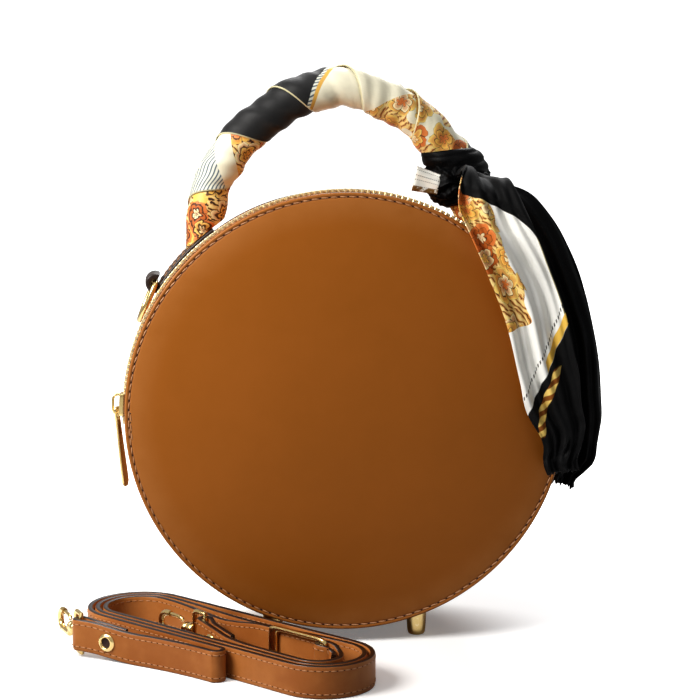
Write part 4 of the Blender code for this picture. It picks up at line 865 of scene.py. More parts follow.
def build_gusset():
    lower = spun(strip_outline(-SEAM_Y, SEAM_Y, True, True), JOIN_ANGLE, 2 * math.pi - 2 * JOIN_ANGLE, 150)
    taper_body(lower)
    finish_piece("lower_gusset_leather", lower, [LEATHER], "bag", ["lower_gusset"])
    strips = {"front": (strip_outline(-SEAM_Y, ZIP_Y - ZIP_WINDOW / 2, True, False), ZIP_Y - ZIP_WINDOW / 2),
              "rear": (strip_outline(ZIP_Y + ZIP_WINDOW / 2, SEAM_Y, False, True), ZIP_Y + ZIP_WINDOW / 2)}
    for side, (outline, edge) in strips.items():
        bm = spun(outline, STRIP_START, -2 * STRIP_START, 200)
        for item in bm.faces:
            centre = item.calc_center_median()
            if abs(centre.y - edge) < 0.0001 and from_axis(centre) < GUSSET_RADIUS - 0.0003:
                item.material_index = 1
        taper_body(bm)
        finish_piece(side + "_gusset_leather", bm, [LEATHER, EDGE], "bag", [side + "_gusset_strip"])
    seam = bmesh.new()
    for sign in (-1, 1):
        edge = ZIP_Y + sign * ZIP_WINDOW / 2
        path = circle_path(GUSSET_RADIUS + SEAM_PROUD, edge + sign * 0.0018, STRIP_START + 0.02,
                           -2 * STRIP_START - 0.04, 220)
        add_seam(seam, path, [Vector((p.x, 0, p.z - ZC)) for p in path], FINE_STITCH)
    for inset in JOIN_SEAM_INSETS:
        for sign in (1, -1):
            radial = radial_at(sign * (JOIN_ANGLE + inset))
            hub = Vector((0, 0, ZC)) + radial * (GUSSET_RADIUS + SEAM_PROUD)
            path = [hub + Vector((0, y / 1000, 0)) for y in range(-34, 35)]
            add_seam(seam, path, [radial] * len(path), FINE_STITCH)
    taper_body(seam)
    finish_piece("gusset_seams", seam, [THREAD, HOLE_SHADE], "bag")


TOOTH_SIZE = (0.00145, 0.0042, 0.0019)
TOOTH_OFFSET = 0.00115
STOP_LENGTH = 0.0035


def make_tooth(sign):
    """One tooth at the top of the zip: a wide head that reaches past the middle, on a narrow clamp."""
    bm = bmesh.new()
    bmesh.ops.create_cube(bm, size=1.0)
    bmesh.ops.scale(bm, vec=TOOTH_SIZE, verts=bm.verts)
    for vert in bm.verts:
        head = vert.co.y * sign < 0
        vert.co.x *= 1.12 if head else 0.72
        vert.co.z *= 0.86 if head else 1.0
    bmesh.ops.translate(bm, vec=(0, sign * TOOTH_OFFSET, (CHAIN_TOP + CHAIN_BOTTOM) / 2), verts=bm.verts)
    soften(bm, 0.00028, 1, bm.edges[:])
    return pattern_mesh("tooth", bm)


def build_zip():
    low = GUSSET_RADIUS - GUSSET_THICKNESS - GAP - TAPE_THICKNESS
    high = CHAIN_BOTTOM - GAP - TAPE_THICKNESS
    shoulder = ZIP_WINDOW / 2 - 0.0003
    profile = [(ZIP_WINDOW / 2 + 0.0017, low), (shoulder, low), (shoulder - 0.0014, (low + high) / 2),
               (shoulder - 0.0028, high), (0.0004, high)]
    for side, sign in (("front", -1), ("rear", 1)):
        under = [(ZIP_Y + sign * across, r) for across, r in profile]
        over = [(y, r + TAPE_THICKNESS) for y, r in reversed(under)]
        tape = spun(under + over, STRIP_START, -2 * STRIP_START, 200)
        taper_body(tape)
        finish_piece("zip_tape_cloth_" + side, tape, [TAPE], "bag", ["zip_tape_" + side])
        tooth = make_tooth(sign)
        teeth = bmesh.new()
        count = round((ZIP_END - ZIP_START) * CHAIN_TOP / TOOTH_PITCH)
        step = (ZIP_END - ZIP_START) / count
        for number in range(count):
            angle = ZIP_START + step * (number + (0.25 if sign < 0 else 0.75))
            add_copy(teeth, tooth, Matrix.Translation((0, ZIP_Y, ZC)) @ Matrix.Rotation(angle, 4, "Y"))
        taper_body(teeth)
        finish_piece("zip_teeth_row_" + side, teeth, [TEETH_GOLD], "bag", ["zip_teeth_" + side], 30)
    near_side, far_side = ZIP_Y - CHAIN_HALF_WIDTH, ZIP_Y + CHAIN_HALF_WIDTH
    stop = spun([(near_side, CHAIN_BOTTOM), (near_side, CHAIN_TOP), (far_side, CHAIN_TOP), (far_side, CHAIN_BOTTOM)],
                ZIP_END + GAP / CHAIN_TOP, STOP_LENGTH / CHAIN_TOP, 4)
    soften(stop, 0.0003, 2)
    taper_body(stop)
    finish_piece("zip_stop_block", stop, [TEETH_GOLD], "bag", ["zip_end_stop"])


def at_slider(along, height):
    """A place on top of the slider: along the zip, and over its roof."""
    tangent = Vector((math.cos(SLIDER_ANGLE), 0, -math.sin(SLIDER_ANGLE)))
    out = radial_at(SLIDER_ANGLE) * (SLIDER_TOP * taper(ZIP_Y) + height)
    return Vector((0, ZIP_Y, ZC)) + out + tangent * along


def build_slider():
    """Slider body with its channel over the teeth, and the bridge that holds the pull."""
    channel = CHAIN_HALF_WIDTH + SLIDER_CLEARANCE
    outer, skirt, roof = channel + SLIDER_WALL, CHAIN_BOTTOM + GAP, CHAIN_TOP + SLIDER_CLEARANCE
    outline = [(-outer, skirt), (-outer, SLIDER_TOP), (outer, SLIDER_TOP), (outer, skirt), (channel, skirt),
               (channel, roof), (-channel, roof), (-channel, skirt)]
    sweep = SLIDER_LENGTH / SLIDER_TOP
    bm = spun([(ZIP_Y + y, r) for y, r in outline], SLIDER_ANGLE - sweep / 2, sweep, 8)
    soften(bm, 0.00028, 3)
    taper_body(bm)
    half_length, rise_height, sunk, radius = 0.0045, 0.00345, 0.00035, 0.0007
    turns = [math.pi * i / 40 for i in range(41)]
    bridge = [at_slider(-power(math.cos(t), 0.5) * half_length, max(math.sin(t), 0.0) ** 0.5 * rise_height - sunk)
              for t in turns]
    wire(bm, bridge, radius)
    finish_piece("zip_slider_metal", bm, [GOLD], "slider", ["zip_slider"])


def build_pull():
    """Flat tapered pull with a slot for the bridge."""
    pivot = at_slider(-0.0020, 0.0014)
    length, half_top, half_end, thick = 0.038, 0.0027, 0.0038, 0.0012
    bm = bmesh.new()
    bmesh.ops.create_grid(bm, x_segments=8, y_segments=38, size=0.5)
    slot = [f for f in bm.faces if abs(f.calc_center_median().x) < 0.26 and 0.36 < f.calc_center_median().y < 0.47]
    bmesh.ops.delete(bm, geom=slot, context="FACES")
    for vert in bm.verts:
        down = 0.5 - vert.co.y
        z = thick / 2 - down * (length + thick / 2)
        half = half_top + (half_end - half_top) * rise(down, 0.18, 0.93)
        rounding = 1 - 0.55 * rise(down, 0.93, 1.0) ** 2
        top = 1 - 0.18 * (1 - rise(down, 0.0, 0.03))
        vert.co = Vector((-thick / 2, vert.co.x * 2 * half * rounding * top, z))
    made = bmesh.ops.extrude_face_region(bm, geom=bm.faces[:])["geom"]
    bmesh.ops.translate(bm, vec=(thick, 0, 0), verts=[v for v in made if isinstance(v, bmesh.types.BMVert)])
    bmesh.ops.recalc_face_normals(bm, faces=bm.faces)
    soften(bm, 0.0003, 3)
    lean, twist = Matrix.Rotation(-math.radians(6), 4, "Y"), Matrix.Rotation(math.radians(-17), 4, "Z")
    bmesh.ops.transform(bm, matrix=Matrix.Translation(pivot) @ lean @ twist, verts=bm.verts)
    finish_piece("zip_pull_bar", bm, [GOLD], "pull", ["zip_pull"])


FOOT_X, FOOT_Y, FOOT_RADIUS = 0.035, 0.027, 0.0054


def build_feet():
    """Four studs whose tops follow the gusset's curve."""
    for end, y in (("front", -FOOT_Y), ("rear", FOOT_Y)):
        for side, x in (("left", -FOOT_X), ("right", FOOT_X)):
            seat = GUSSET_RADIUS * taper(y) + GAP
            top = ZC - math.sqrt(seat ** 2 - (abs(x) + FOOT_RADIUS) ** 2)
            outline = [(0, 0), (0.0031, 0), (0.0038, 0.0003), (0.0042, 0.0011), (0.0045, 0.0030), (0.0050, top - 0.003),
                       (0.0053, top - 0.0022), (FOOT_RADIUS, top - 0.0018), (FOOT_RADIUS, top), (0, top)]
            bm = bmesh.new()
            lathed(bm, outline, Matrix.Translation((x, y, 0)))
            for vert in bm.verts:
                if vert.co.z > top - 0.0005:
                    vert.co.z = ZC - math.sqrt(seat ** 2 - vert.co.x ** 2)
            welded(bm)
            finish_piece("foot_stud_{}_{}".format(end, side), bm, [GOLD], "bag",
                         ["foot_{}_{}".format(end, side)])


# Handle, tabs and rings

def handle_point(share):
    turn = math.pi * (1 - share)
    lift = max(math.sin(turn), 0.0) ** HANDLE_POWER
    return Vector((HANDLE_SPAN * power(math.cos(turn), HANDLE_POWER), 0, ZC + HANDLE_BASE + HANDLE_RISE * lift))


def core_radius(share):
    return 0.0042 + 0.0023 * rise(min(share, 1 - share), 0.02, 0.2)


def handle_frame(share):
    """Centre, direction into the arch and direction along it at a share of the handle."""
    ahead, behind = handle_point(min(share + 0.004, 1.0)), handle_point(max(share - 0.004, 0.0))
    tangent = (ahead - behind).normalized()
    return handle_point(share), BACKWARD.cross(tangent), tangent


def build_handle_core():
    """Padded core whose ends stand on the tabs."""
    seat = TAB_TOP + GAP

    def place(u, v):
        centre, inward, _ = handle_frame(u)
        angle = 2 * math.pi * v
        point = centre + (inward * math.cos(angle) + BACKWARD * math.sin(angle)) * core_radius(u)
        if u < 0.002 or u > 0.998:
            point.z = ZC + math.sqrt(seat ** 2 - point.x ** 2)
        return point
    bm = capped(surface(160, 32, place, close=True))
    finish_piece("handle_core_leather", bm, [LEATHER], "bag", ["handle_core"])


def ribbon_section(v, half_width, half_thick):
    """Rounded flat section as (across, out); v runs all round it."""
    angle = 2 * math.pi * v
    return power(math.cos(angle), 0.18) * half_width, power(math.sin(angle), 0.35) * half_thick


def ribbon(path, normals, up, width, thickness):
    """A strap along a path, with a rounded section."""
    count = len(path) - 1
    length = sum((Vector(b) - Vector(a)).length for a, b in zip(path, path[1:]))

    def place(u, v):
        index = min(int(round(u * count)), count)
        across, out = ribbon_section(v, width / 2, thickness / 2)
        return Vector(path[index]) + up[index] * across + normals[index] * out
    return capped(surface(count, 28, place, (length, 2 * (width + thickness)), close=True))


FLAT_STEPS, FOLD_STEPS, FOLD_TURN = 24, 40, math.radians(265)
SEAM_INSET = 0.0022
RING_HALF, RING_LEAN = 0.0100, math.radians(23)


def build_tabs():
    """Tabs folded round their D-rings, and the rings that hang from them."""
    for side, sign in (("left", -1), ("right", 1)):
        path, normals = [], []
        for step in range(FLAT_STEPS + 1):
            radial = radial_at(sign * (TAB_INNER + (TAB_OUTER - TAB_INNER) * step / FLAT_STEPS))
            path.append(Vector((0, 0, ZC)) + radial * TAB_MID)
            normals.append(radial)
        flat = list(zip(path, normals))
        radial = radial_at(sign * TAB_OUTER)
        eye = radial * (TAB_MID + EYE_RADIUS) + Vector((0, 0, ZC))
        onward = Vector((sign * math.cos(TAB_OUTER), 0, -math.sin(TAB_OUTER)))
        for step in range(1, FOLD_STEPS + 1):
            turn = FOLD_TURN * step / FOLD_STEPS
            out = onward * math.sin(turn) - radial * math.cos(turn)
            path.append(eye + out * EYE_RADIUS)
            normals.append(-out)
        bm = ribbon(path, normals, [BACKWARD] * len(path), TAB_WIDTH, TAB_THICKNESS)
        for item in bm.faces:
            if abs(item.calc_center_median().y) > TAB_WIDTH / 2 - 0.0004 or len(item.verts) > 4:
                item.material_index = 1
        finish_piece("handle_tab_leather_" + side, bm, [TAB_LEATHER, EDGE], "bag",
                     ["handle_tab_" + side])
        seam = bmesh.new()
        for y in (-TAB_WIDTH / 2 + SEAM_INSET, TAB_WIDTH / 2 - SEAM_INSET):
            top = [p + n * (TAB_THICKNESS / 2 + 0.00002) + Vector((0, y, 0)) for p, n in flat]
            add_seam(seam, top, [n for _, n in flat], FINE_STITCH)
        finish_piece("handle_tab_seam_" + side, seam, [THREAD, HOLE_SHADE], "bag")
        corner = [(0.0093, 0.0004), (RING_HALF, 0.0020), (RING_HALF, 0.0060)]
        bow = [(RING_HALF * math.cos(math.pi * i / 24), RING_HALF + RING_HALF * math.sin(math.pi * i / 24))
               for i in range(25)]
        outline = [(-0.0080, 0), (0.0080, 0)] + corner + bow + [(-y, reach) for y, reach in reversed(corner)]
        hang = Vector((sign * math.sin(RING_LEAN), 0, -math.cos(RING_LEAN)))
        ring = bmesh.new()
        wire(ring, [eye + Vector((0, y, 0)) + hang * reach for y, reach in outline], RING_WIRE, closed=True, sides=6)
        finish_piece("d_ring_metal_" + side, welded(ring), [GOLD], "ring_" + side, ["d_ring_" + side])


# Scarf

def handle_lengths(steps=400):
    lengths = [0.0]
    for i in range(steps):
        lengths.append(lengths[-1] + (handle_point((i + 1) / steps) - handle_point(i / steps)).length)
    return lengths


HANDLE_LENGTHS = handle_lengths()


def share_at(distance):
    """Share of the handle at a distance along its middle line."""
    if distance <= 0:
        return 0.0
    steps = len(HANDLE_LENGTHS) - 1
    for i in range(steps):
        if HANDLE_LENGTHS[i + 1] >= distance:
            span = HANDLE_LENGTHS[i + 1] - HANDLE_LENGTHS[i]
            return (i + (distance - HANDLE_LENGTHS[i]) / span) / steps
    return 1.0


WRAP_SPARE = 0.012


def build_wrap():
    """Scarf band wound round the handle, each turn lapping over the last."""
    slope = math.atan2(WRAP_PITCH, 2 * math.pi * WRAP_RADIUS)
    total = HANDLE_LENGTHS[-1]
    low, high = -WRAP_SPARE, total + WRAP_SPARE
    seat = TAB_TOP + GAP + 0.0002
    length = (high - low) / math.sin(slope)

    def place(u, v):
        t, w = u * length, (v - 0.5) * WRAP_WIDTH
        along = low + t * math.sin(slope) + w * math.cos(slope)
        angle = (t * math.cos(slope) - w * math.sin(slope)) / WRAP_RADIUS
        share = share_at(along)
        beyond = min(along, 0.0) + min(total - along, 0.0)
        centre, inward, _ = handle_frame(share)
        from_end = min(share, 1 - share)
        full = rise(from_end, 0.02, 0.18)
        # the lap over the turn before
        lift = 0.0010 + 0.0019 * (0.5 - w / WRAP_WIDTH) * (0.35 + 0.65 * full)
        # pleats along the band and sharp creases
        drift = noise.noise(Vector((t * 16, 3.1, 0.0)))
        pleat = math.sin((w / 0.0085 + drift * 1.6) * math.pi)
        pleat += 0.6 * math.sin((w / 0.0043 - drift * 2.3 + t * 12) * math.pi)
        crease = 1 - abs(noise.noise(Vector((t * 28, w * 130, 7.7)))) * 2
        lift += (0.00038 * pleat + 0.0005 * crease) * (0.3 + 0.7 * full)
        # the rolled hem, and the fuller folds inside the arch at the handle's feet
        out = abs(w) / (WRAP_WIDTH / 2)
        lift += 0.0004 * (rise(out, 0.93, 0.98) - rise(out, 0.985, 1.0))
        at_foot = rise(from_end, -0.02, 0.03) * (1 - rise(from_end, 0.07, 0.15))
        lift += 0.0046 * at_foot * (1.1 + math.cos(angle)) * 0.5
        radius = core_radius(share) + 0.0004 + lift
        point = centre + (inward * math.cos(angle) + BACKWARD * math.sin(angle)) * radius
        point.z = max(point.z + beyond, ZC + math.sqrt(seat ** 2 - point.x ** 2))
        return point
    bm = surface(620, 44, place, (length, WRAP_WIDTH))
    obj = finish_piece("scarf_wrap_silk", bm, [WRAP_SILK], "bag", ["scarf_wrap"])
    add_thickness(obj, 0.0005)


KNOT_SHARE, KNOT_DROP = 0.85, 0.005
KNOT_RADII = Vector((0.0152, 0.0140, 0.0122))
BAND_WIDTH, BAND_LENGTH, BAND_SHARE, BAND_TILT = 0.0145, 0.076, 0.825, 0.026


def build_knot():
    """Knot: a creased bundle, a band pulled tight round the handle above it and a pale fold on its left."""
    on_handle = handle_point(KNOT_SHARE)
    centre = on_handle + (Vector((0, 0, ZC)) - on_handle).normalized() * KNOT_DROP
    bundle = bmesh.new()
    bmesh.ops.create_icosphere(bundle, subdivisions=6, radius=1.0)
    for vert in bundle.verts:
        d = vert.co.normalized()
        swirl = math.atan2(d.z, d.x) * 4 + 3.0 * d.y + 1.6 * noise.noise(d * 2.0)
        fold = 1 - 2 * abs((swirl / math.pi) % 1.0 - 0.5)
        crease = 1 - 2 * abs(noise.noise(d * 4.2 + Vector((5, 1, 2))))
        grow = 0.97 + 0.12 * rise(fold, 0.1, 1.0) + 0.06 * crease + 0.02 * noise.noise(d * 15)
        vert.co = centre + Vector(a * r * grow for a, r in zip(d, KNOT_RADII))
    finish_piece("scarf_knot_silk", bundle, [BLACK_SILK], "bag", ["scarf_knot"])

    def band(u, v):
        angle, w = 2 * math.pi * u, 2 * v - 1
        middle, inward, tangent = handle_frame(BAND_SHARE - BAND_TILT * math.cos(angle))
        pleat = abs(math.sin(w * 4.1 + 0.8 * math.sin(angle))) * 0.0007
        radius = 0.0121 - 0.0022 * w ** 4 + pleat + 0.0005 * noise.noise(Vector((angle * 2, w * 3, 4.0)))
        side = inward * math.cos(angle) + BACKWARD * math.sin(angle)
        return middle + tangent * (w * 0.0072) + side * radius
    wound = surface(120, 26, band, (BAND_LENGTH, BAND_WIDTH), close=True)
    obj = finish_piece("scarf_knot_band_silk", wound, [BLACK_SILK], "bag")
    add_thickness(obj, 0.0006)

    fold_low = centre + Vector((-0.0158, -0.0096, 0.0002))

    def tuck(u, v):
        angle, w = 2 * math.pi * v, 2 * u - 1
        out = power(math.cos(angle), 0.7) * 0.0019 * (1 - 0.3 * w ** 8)
        up = power(math.sin(angle), 0.8) * 0.0056 * (1 - 0.12 * w)
        crease = 0.0006 * math.sin(up * 900 + 2.0 * w) + 0.0007 * w * w
        return fold_low + Vector((w * 0.0060 + 0.22 * up, -out - crease, up * 0.96 - 0.0016 * w))
    piece = capped(surface(40, 40, tuck, (0.0136, 0.030), close=True))
    finish_piece("scarf_knot_fold_silk", piece, [DOTTED_SILK], "bag")


# where the tails hang: shares of the disc's radius across and up, and how far forward, 0 to 1
PALE_ROUTE = (
    (0.53, 1.04, 0.00), (0.545, 1.075, 0.30), (0.575, 1.06, 0.62), (0.62, 0.97, 0.90),
    (0.68, 0.82, 1.00), (0.75, 0.64, 1.00), (0.825, 0.45, 1.00), (0.885, 0.25, 1.00),
    (0.94, 0.05, 1.00), (0.975, -0.13, 0.99), (0.99, -0.27, 0.98),
)
DARK_ROUTE = (
    (0.60, 1.05, 0.0), (0.70, 0.985, 0.30), (0.80, 0.89, 0.75), (0.92, 0.74, 1.0),
    (1.015, 0.56, 1.0), (1.07, 0.38, 1.0), (1.105, 0.20, 1.0), (1.115, 0.02, 1.0),
    (1.105, -0.14, 1.0), (1.07, -0.28, 1.0), (1.035, -0.39, 1.0),
)


ROOT_DEPTH = 0.006
CLOTH_SPARE = 1.25
ROUTE_STEPS = 16


def build_tail(name, node, route, root_y, front_y, width, folds, turn_low, silk, seed, lap=0.0):
    """Hanging end of the scarf: a gathered strip with soft lengthwise folds; lap folds its right side over."""
    points = smooth_path([Vector((DISC_RADIUS * x, root_y + (front_y - root_y) * forward, ZC + DISC_RADIUS * z))
                          for x, z, forward in route], ROUTE_STEPS)
    forwards = smooth_path([Vector((forward, 0, 0)) for _, _, forward in route], ROUTE_STEPS)
    last = len(points) - 1
    length = sum((b - a).length for a, b in zip(points, points[1:]))
    flat_width = width * CLOTH_SPARE

    def place(u, v):
        # the cloth turns from lying round the body to hanging in front of it
        index = min(int(round(u * last)), last)
        tangent = (points[min(index + 1, last)] - points[max(index - 1, 0)]).normalized()
        point = points[index]
        radial = Vector((point.x, 0, point.z - ZC)).normalized()
        share = rise(forwards[index].x, turn_low, turn_low + 0.55)
        normal = radial * (1 - share) - BACKWARD * share
        normal = (normal - tangent * normal.dot(tangent)).normalized()
        across = tangent.cross(normal)
        # it spreads from the knot, later on its left, and narrows again at its end
        w = 2 * v - 1
        later = max(w, 0)
        spread = rise(u, 0.03 + 0.09 * later, 0.22 + 0.10 * later)
        half = width / 2 * (0.06 + 0.98 * spread) * (1 - 0.45 * rise(u, 0.75, 1.0))
        # lengthwise folds, small waves, the crumpled end and the border folded over
        drift = noise.noise(Vector((u * 4, seed, 0)))
        wave = 0.0016 * power(math.sin(folds * math.pi * (w + 0.25 * drift) + 2.2 * u + seed), 0.8)
        wave += 0.0008 * math.sin(2.6 * folds * math.pi * w + 5.0 * drift) * rise(u, 0.05, 0.4)
        wave += 0.0010 * noise.noise(Vector((u * 12, w * 2.0, seed)))
        wave += 0.0024 * rise(u, 0.72, 0.95) * noise.noise(Vector((u * 26, w * 3.5, seed + 2)))
        border = LAP_FROM + LAP_TRAVEL * rise(u, *LAP_SPAN)
        wave += lap * rise(-w, border - 0.10, border + 0.02) * (rise(u, 0.06, 0.2) - rise(u, 0.42, 0.55))
        ragged = 0.0022 * noise.noise(Vector((w * 9, seed, 3.0))) * rise(u, 0.97, 1.0)
        sway = 0.0012 * math.sin(u * 9 + seed) + 0.0016 * rise(u, 0.7, 0.9) * math.sin(u * 34)
        sunk = Vector((0, ROOT_DEPTH * (1 - rise(u, 0.02, 0.09)), 0))
        return point + across * (half * w + sway) + normal * wave + tangent * ragged + sunk
    bm = surface(last, 72, place, (length, flat_width))
    obj = finish_piece(name, bm, [silk], "bag", [node])
    add_thickness(obj, 0.0006)


# Strap

HEADING_ANGLE = math.radians(-47)
HANK_HALF = 0.060
RUN = 0.30
HEADING = Vector((math.cos(HEADING_ANGLE), math.sin(HEADING_ANGLE), 0))
OUTWARD = Vector((HEADING.y, -HEADING.x, 0))
HANK_MIDDLE = Vector((-0.0580, -0.0603, 0))
HANK_LEFT = HANK_MIDDLE - HEADING * HANK_HALF
HANK_RIGHT = HANK_MIDDLE + HEADING * HANK_HALF
HANK_START = RUN * 0.33
BUCKLE_TURN = 2.5 + RUN * 0.71
SHORT_JOIN = 2.5 + RUN * 1.07
SHORT_END = 3.0 + RUN * 0.60
BUCKLE_LENGTH, BUCKLE_HEIGHT, BUCKLE_RAIL, BUCKLE_DEPTH = 0.036, 0.0200, 0.0020, 0.0022
BUCKLE_PLATE, BUCKLE_BAR = 0.0048, 0.0022
BUCKLE_BAR_X = BUCKLE_LENGTH - BUCKLE_PLATE / 2 - BUCKLE_BAR / 2
BUCKLE_FRONT = -(STRAP_THICKNESS / 2 + STRAP_GAP + BUCKLE_DEPTH / 2)
BUCKLE_FOLD = math.hypot(BUCKLE_BAR, BUCKLE_DEPTH) / 2 + GAP + STRAP_THICKNESS / 2
TIP_X = BUCKLE_BAR_X - BUCKLE_FOLD - STRAP_THICKNESS / 2 - STRAP_GAP
HANK_END = BUCKLE_TURN + RUN * TIP_X / (2 * HANK_HALF)
EYE_WIRE = 0.0012
EYE_FOLD = EYE_WIRE + GAP + STRAP_THICKNESS / 2
EYE_LIFT = 2 * EYE_WIRE + STRAP_GAP + GAP
RAIL_LIFT = BUCKLE_RAIL + STRAP_GAP + GAP
LIFT_LENGTH = 0.030
RUN_STEPS, BEND_STEPS = 10, 11
FREE_LENGTH, FREE_SPREAD, FREE_BEND = 0.074, 0.014, 0.0031
HOOK_A_SWING, HOOK_B_SWING = math.radians(-43), math.radians(12)


def drawn_in(turns):
    """How far a turn of the coil is pressed in at the middle of its run."""
    phase = turns % 1.0 - 0.5
    amount = 0.0040 * (turns - 0.6)
    if turns < 2.5:
        return amount * math.sin(math.pi * phase / RUN) ** 2 if 0 < phase < RUN else 0.0
    if 0 <= phase:
        return amount * rise(phase, 0.0, RUN / 2) * (1 - rise(phase, RUN, 0.5))
    return 0.0


def hank_point(turns):
    """Middle of the strap on the floor, after so many turns of the flattened coil from outside in."""
    phase = turns % 1.0
    radius = 0.0255 - 0.0037 * turns - drawn_in(turns)
    if phase < RUN:
        return HANK_RIGHT + OUTWARD * radius - HEADING * (2 * HANK_HALF * phase / RUN)
    if phase < 0.5:
        turn = math.pi * (phase - RUN) / (0.5 - RUN)
        return HANK_LEFT + (OUTWARD * math.cos(turn) - HEADING * math.sin(turn)) * radius
    if phase < 0.5 + RUN:
        return HANK_LEFT + HEADING * (2 * HANK_HALF * (phase - 0.5) / RUN) - OUTWARD * radius
    turn = math.pi * (phase - 0.5 - RUN) / (0.5 - RUN)
    return HANK_RIGHT + (-OUTWARD * math.cos(turn) + HEADING * math.sin(turn)) * radius


def hank_frame(turns):
    along = (hank_point(turns + 0.003) - hank_point(turns - 0.003)).normalized()
    return frame_matrix(along, UP.cross(along), UP, hank_point(turns))


def strap_lift(turns):
    """The strap rises where the buckle's rail passes under it."""
    distance = abs(turns - (BUCKLE_TURN + HANK_END) / 2) * 2 * HANK_HALF / RUN
    return RAIL_LIFT * (1 - rise(distance, BUCKLE_LENGTH * 0.6, BUCKLE_LENGTH * 0.6 + LIFT_LENGTH))


def coil_path(start, end):
    """The coil's lower edge between two turns, closely stepped through its bends."""
    stops = []
    for half in range(int(2 * end) + 1):
        stops += [half / 2 + RUN * i / RUN_STEPS for i in range(RUN_STEPS)]
        stops += [half / 2 + RUN + (0.5 - RUN) * i / BEND_STEPS for i in range(BEND_STEPS)]
    path = []
    for turns in [start] + sorted(stop for stop in stops if start + 0.02 < stop < end - 0.02) + [end]:
        point = hank_point(turns)
        path.append(Vector((point.x, point.y, strap_lift(turns))))
    return path


def free_run():
    """The long strap's outer end: along the front of the coil, then doubled back into it."""
    corner = hank_point(HANK_START)
    path = []
    for step in range(10):
        left = 1 - step / 10
        point = corner + OUTWARD * (2 * FREE_BEND + FREE_SPREAD * left ** 2) - HEADING * (FREE_LENGTH * left)
        point.z = EYE_LIFT * (1 - rise(FREE_LENGTH * (1 - left), 0.0, LIFT_LENGTH))
        path.append(point)
    for step in range(8):
        turn = math.pi * step / 8
        path.append(corner + OUTWARD * FREE_BEND * (1 + math.cos(turn)) + HEADING * FREE_BEND * math.sin(turn))
    return path


def run_normal(run, index, side):
    ahead, behind = run[min(index + 1, len(run) - 1)], run[max(index - 1, 0)]
    along = Vector((ahead.x - behind.x, ahead.y - behind.y, 0)).normalized()
    return Vector((-along.y, along.x, 0)) * side


def fold_centre(run, side, radius):
    return run[0] + run_normal(run, 0, side) * radius


def outward_of(run):
    """Level direction in which a run goes on beyond its first point."""
    return Vector((run[0].x - run[1].x, run[0].y - run[1].y, 0)).normalized()


def folded_end(run, side, radius, length=0.024):
    """The strap's end laid back on itself round a wire: the layer under the run, then the bend."""
    distances = [0.0]
    for a, b in zip(run, run[1:]):
        distances.append(distances[-1] + (b - a).length)
    tail = []
    for step in range(7, 0, -1):
        reach = length * step / 7
        index = next(i for i, d in enumerate(distances) if d >= reach)
        back = (distances[index] - reach) / (distances[index] - distances[index - 1])
        point = run[index].lerp(run[index - 1], back)
        spread = 2 * radius - STRAP_THICKNESS - STRAP_GAP
        offset = STRAP_THICKNESS + STRAP_GAP + spread * (1 - rise(reach, 0.0, 0.009))
        tail.append(point + run_normal(run, index, side) * offset)
    normal = run_normal(run, 0, side)
    centre = fold_centre(run, side, radius)
    outward = outward_of(run)
    turns = [math.pi * i / 9 for i in range(9)]
    bend = [centre + (normal * math.cos(turn) + outward * math.sin(turn)) * radius for turn in turns]
    for point in bend:
        point.z = run[0].z
    return tail + bend


def facing_matrix(point, normal, height):
    """An upright place on the strap that faces along its normal."""
    return frame_matrix(UP.cross(normal), UP, normal, Vector((point.x, point.y, height)))


def build_strap(name, path, node):
    """A strap on edge: leather, painted edges and a seam along both edges of both faces."""
    fine = smooth_path(path, 3)
    count = len(fine)
    normals = []
    for i in range(count):
        along = fine[min(i + 1, count - 1)] - fine[max(i - 1, 0)]
        normals.append(Vector((-along.y, along.x, 0)).normalized())
    middle = [p + Vector((0, 0, STRAP_WIDTH / 2)) for p in fine]
    bm = ribbon(middle, normals, [UP] * count, STRAP_WIDTH, STRAP_THICKNESS)
    for item in bm.faces:
        if abs(item.normal.z) > 0.5 or len(item.verts) > 4:
            item.material_index = 1
    finish_piece(name + "_leather", bm, [STRAP_LEATHER, EDGE], "strap", [node])
    seam = bmesh.new()
    for side in (-1, 1):
        for height in (SEAM_INSET, STRAP_WIDTH - SEAM_INSET):
            line = [p + n * (side * (STRAP_THICKNESS / 2 + 0.00001)) + Vector((0, 0, height))
                    for p, n in zip(fine, normals)]
            add_seam(seam, line, [n * side for n in normals], STRAP_STITCH)
    finish_piece(name + "_seams", seam, [THREAD, HOLE_SHADE], "strap")


RIVET_REACH = 0.012
# an eyelet's rounded rim round its small hole: (radius, height over the strap)
EYELET_OUTLINE = [(0, 0.0001), (0.0021, 0.0001), (0.0023, 0.0003), (0.0025, 0.0009), (0.0028, 0.0012), (0.0031, 0.0012),
                  (0.0036, 0.0009), (0.0042, 0.0004), (0.0044, 0.0001), (0.0044, 0), (0.0015, 0)]


def build_rivet(name, run, side, node):
    """Eyelet rivet through both layers of a folded end."""
    index = next(i for i in range(len(run)) if (run[i] - run[0]).length >= RIVET_REACH)
    normal = run_normal(run, index, side)
    depth = 2 * STRAP_THICKNESS + STRAP_GAP + 2 * GAP
    face = run[index] - normal * (STRAP_THICKNESS / 2 + GAP)
    matrix = facing_matrix(face, -normal, run[index].z + STRAP_WIDTH / 2)
    back = [(0.0015, -depth), (0.0032, -depth), (0.0029, -depth - 0.0005), (0.0020, -depth - 0.0006),
            (0, -depth - 0.0006)]
    bm = bmesh.new()
    lathed(bm, EYELET_OUTLINE + back, matrix)
    # the flat inside the eyelet's hole is coloured dark: painted shade in the hole
    for item in bm.faces:
        local = matrix.inverted() @ item.calc_center_median()
        if math.hypot(local.x, local.y) < 0.0022 and local.z > 0:
            item.material_index = 1
    finish_piece(name + "_metal", welded(bm), [GOLD, HOLE_SHADE], "strap", [node])


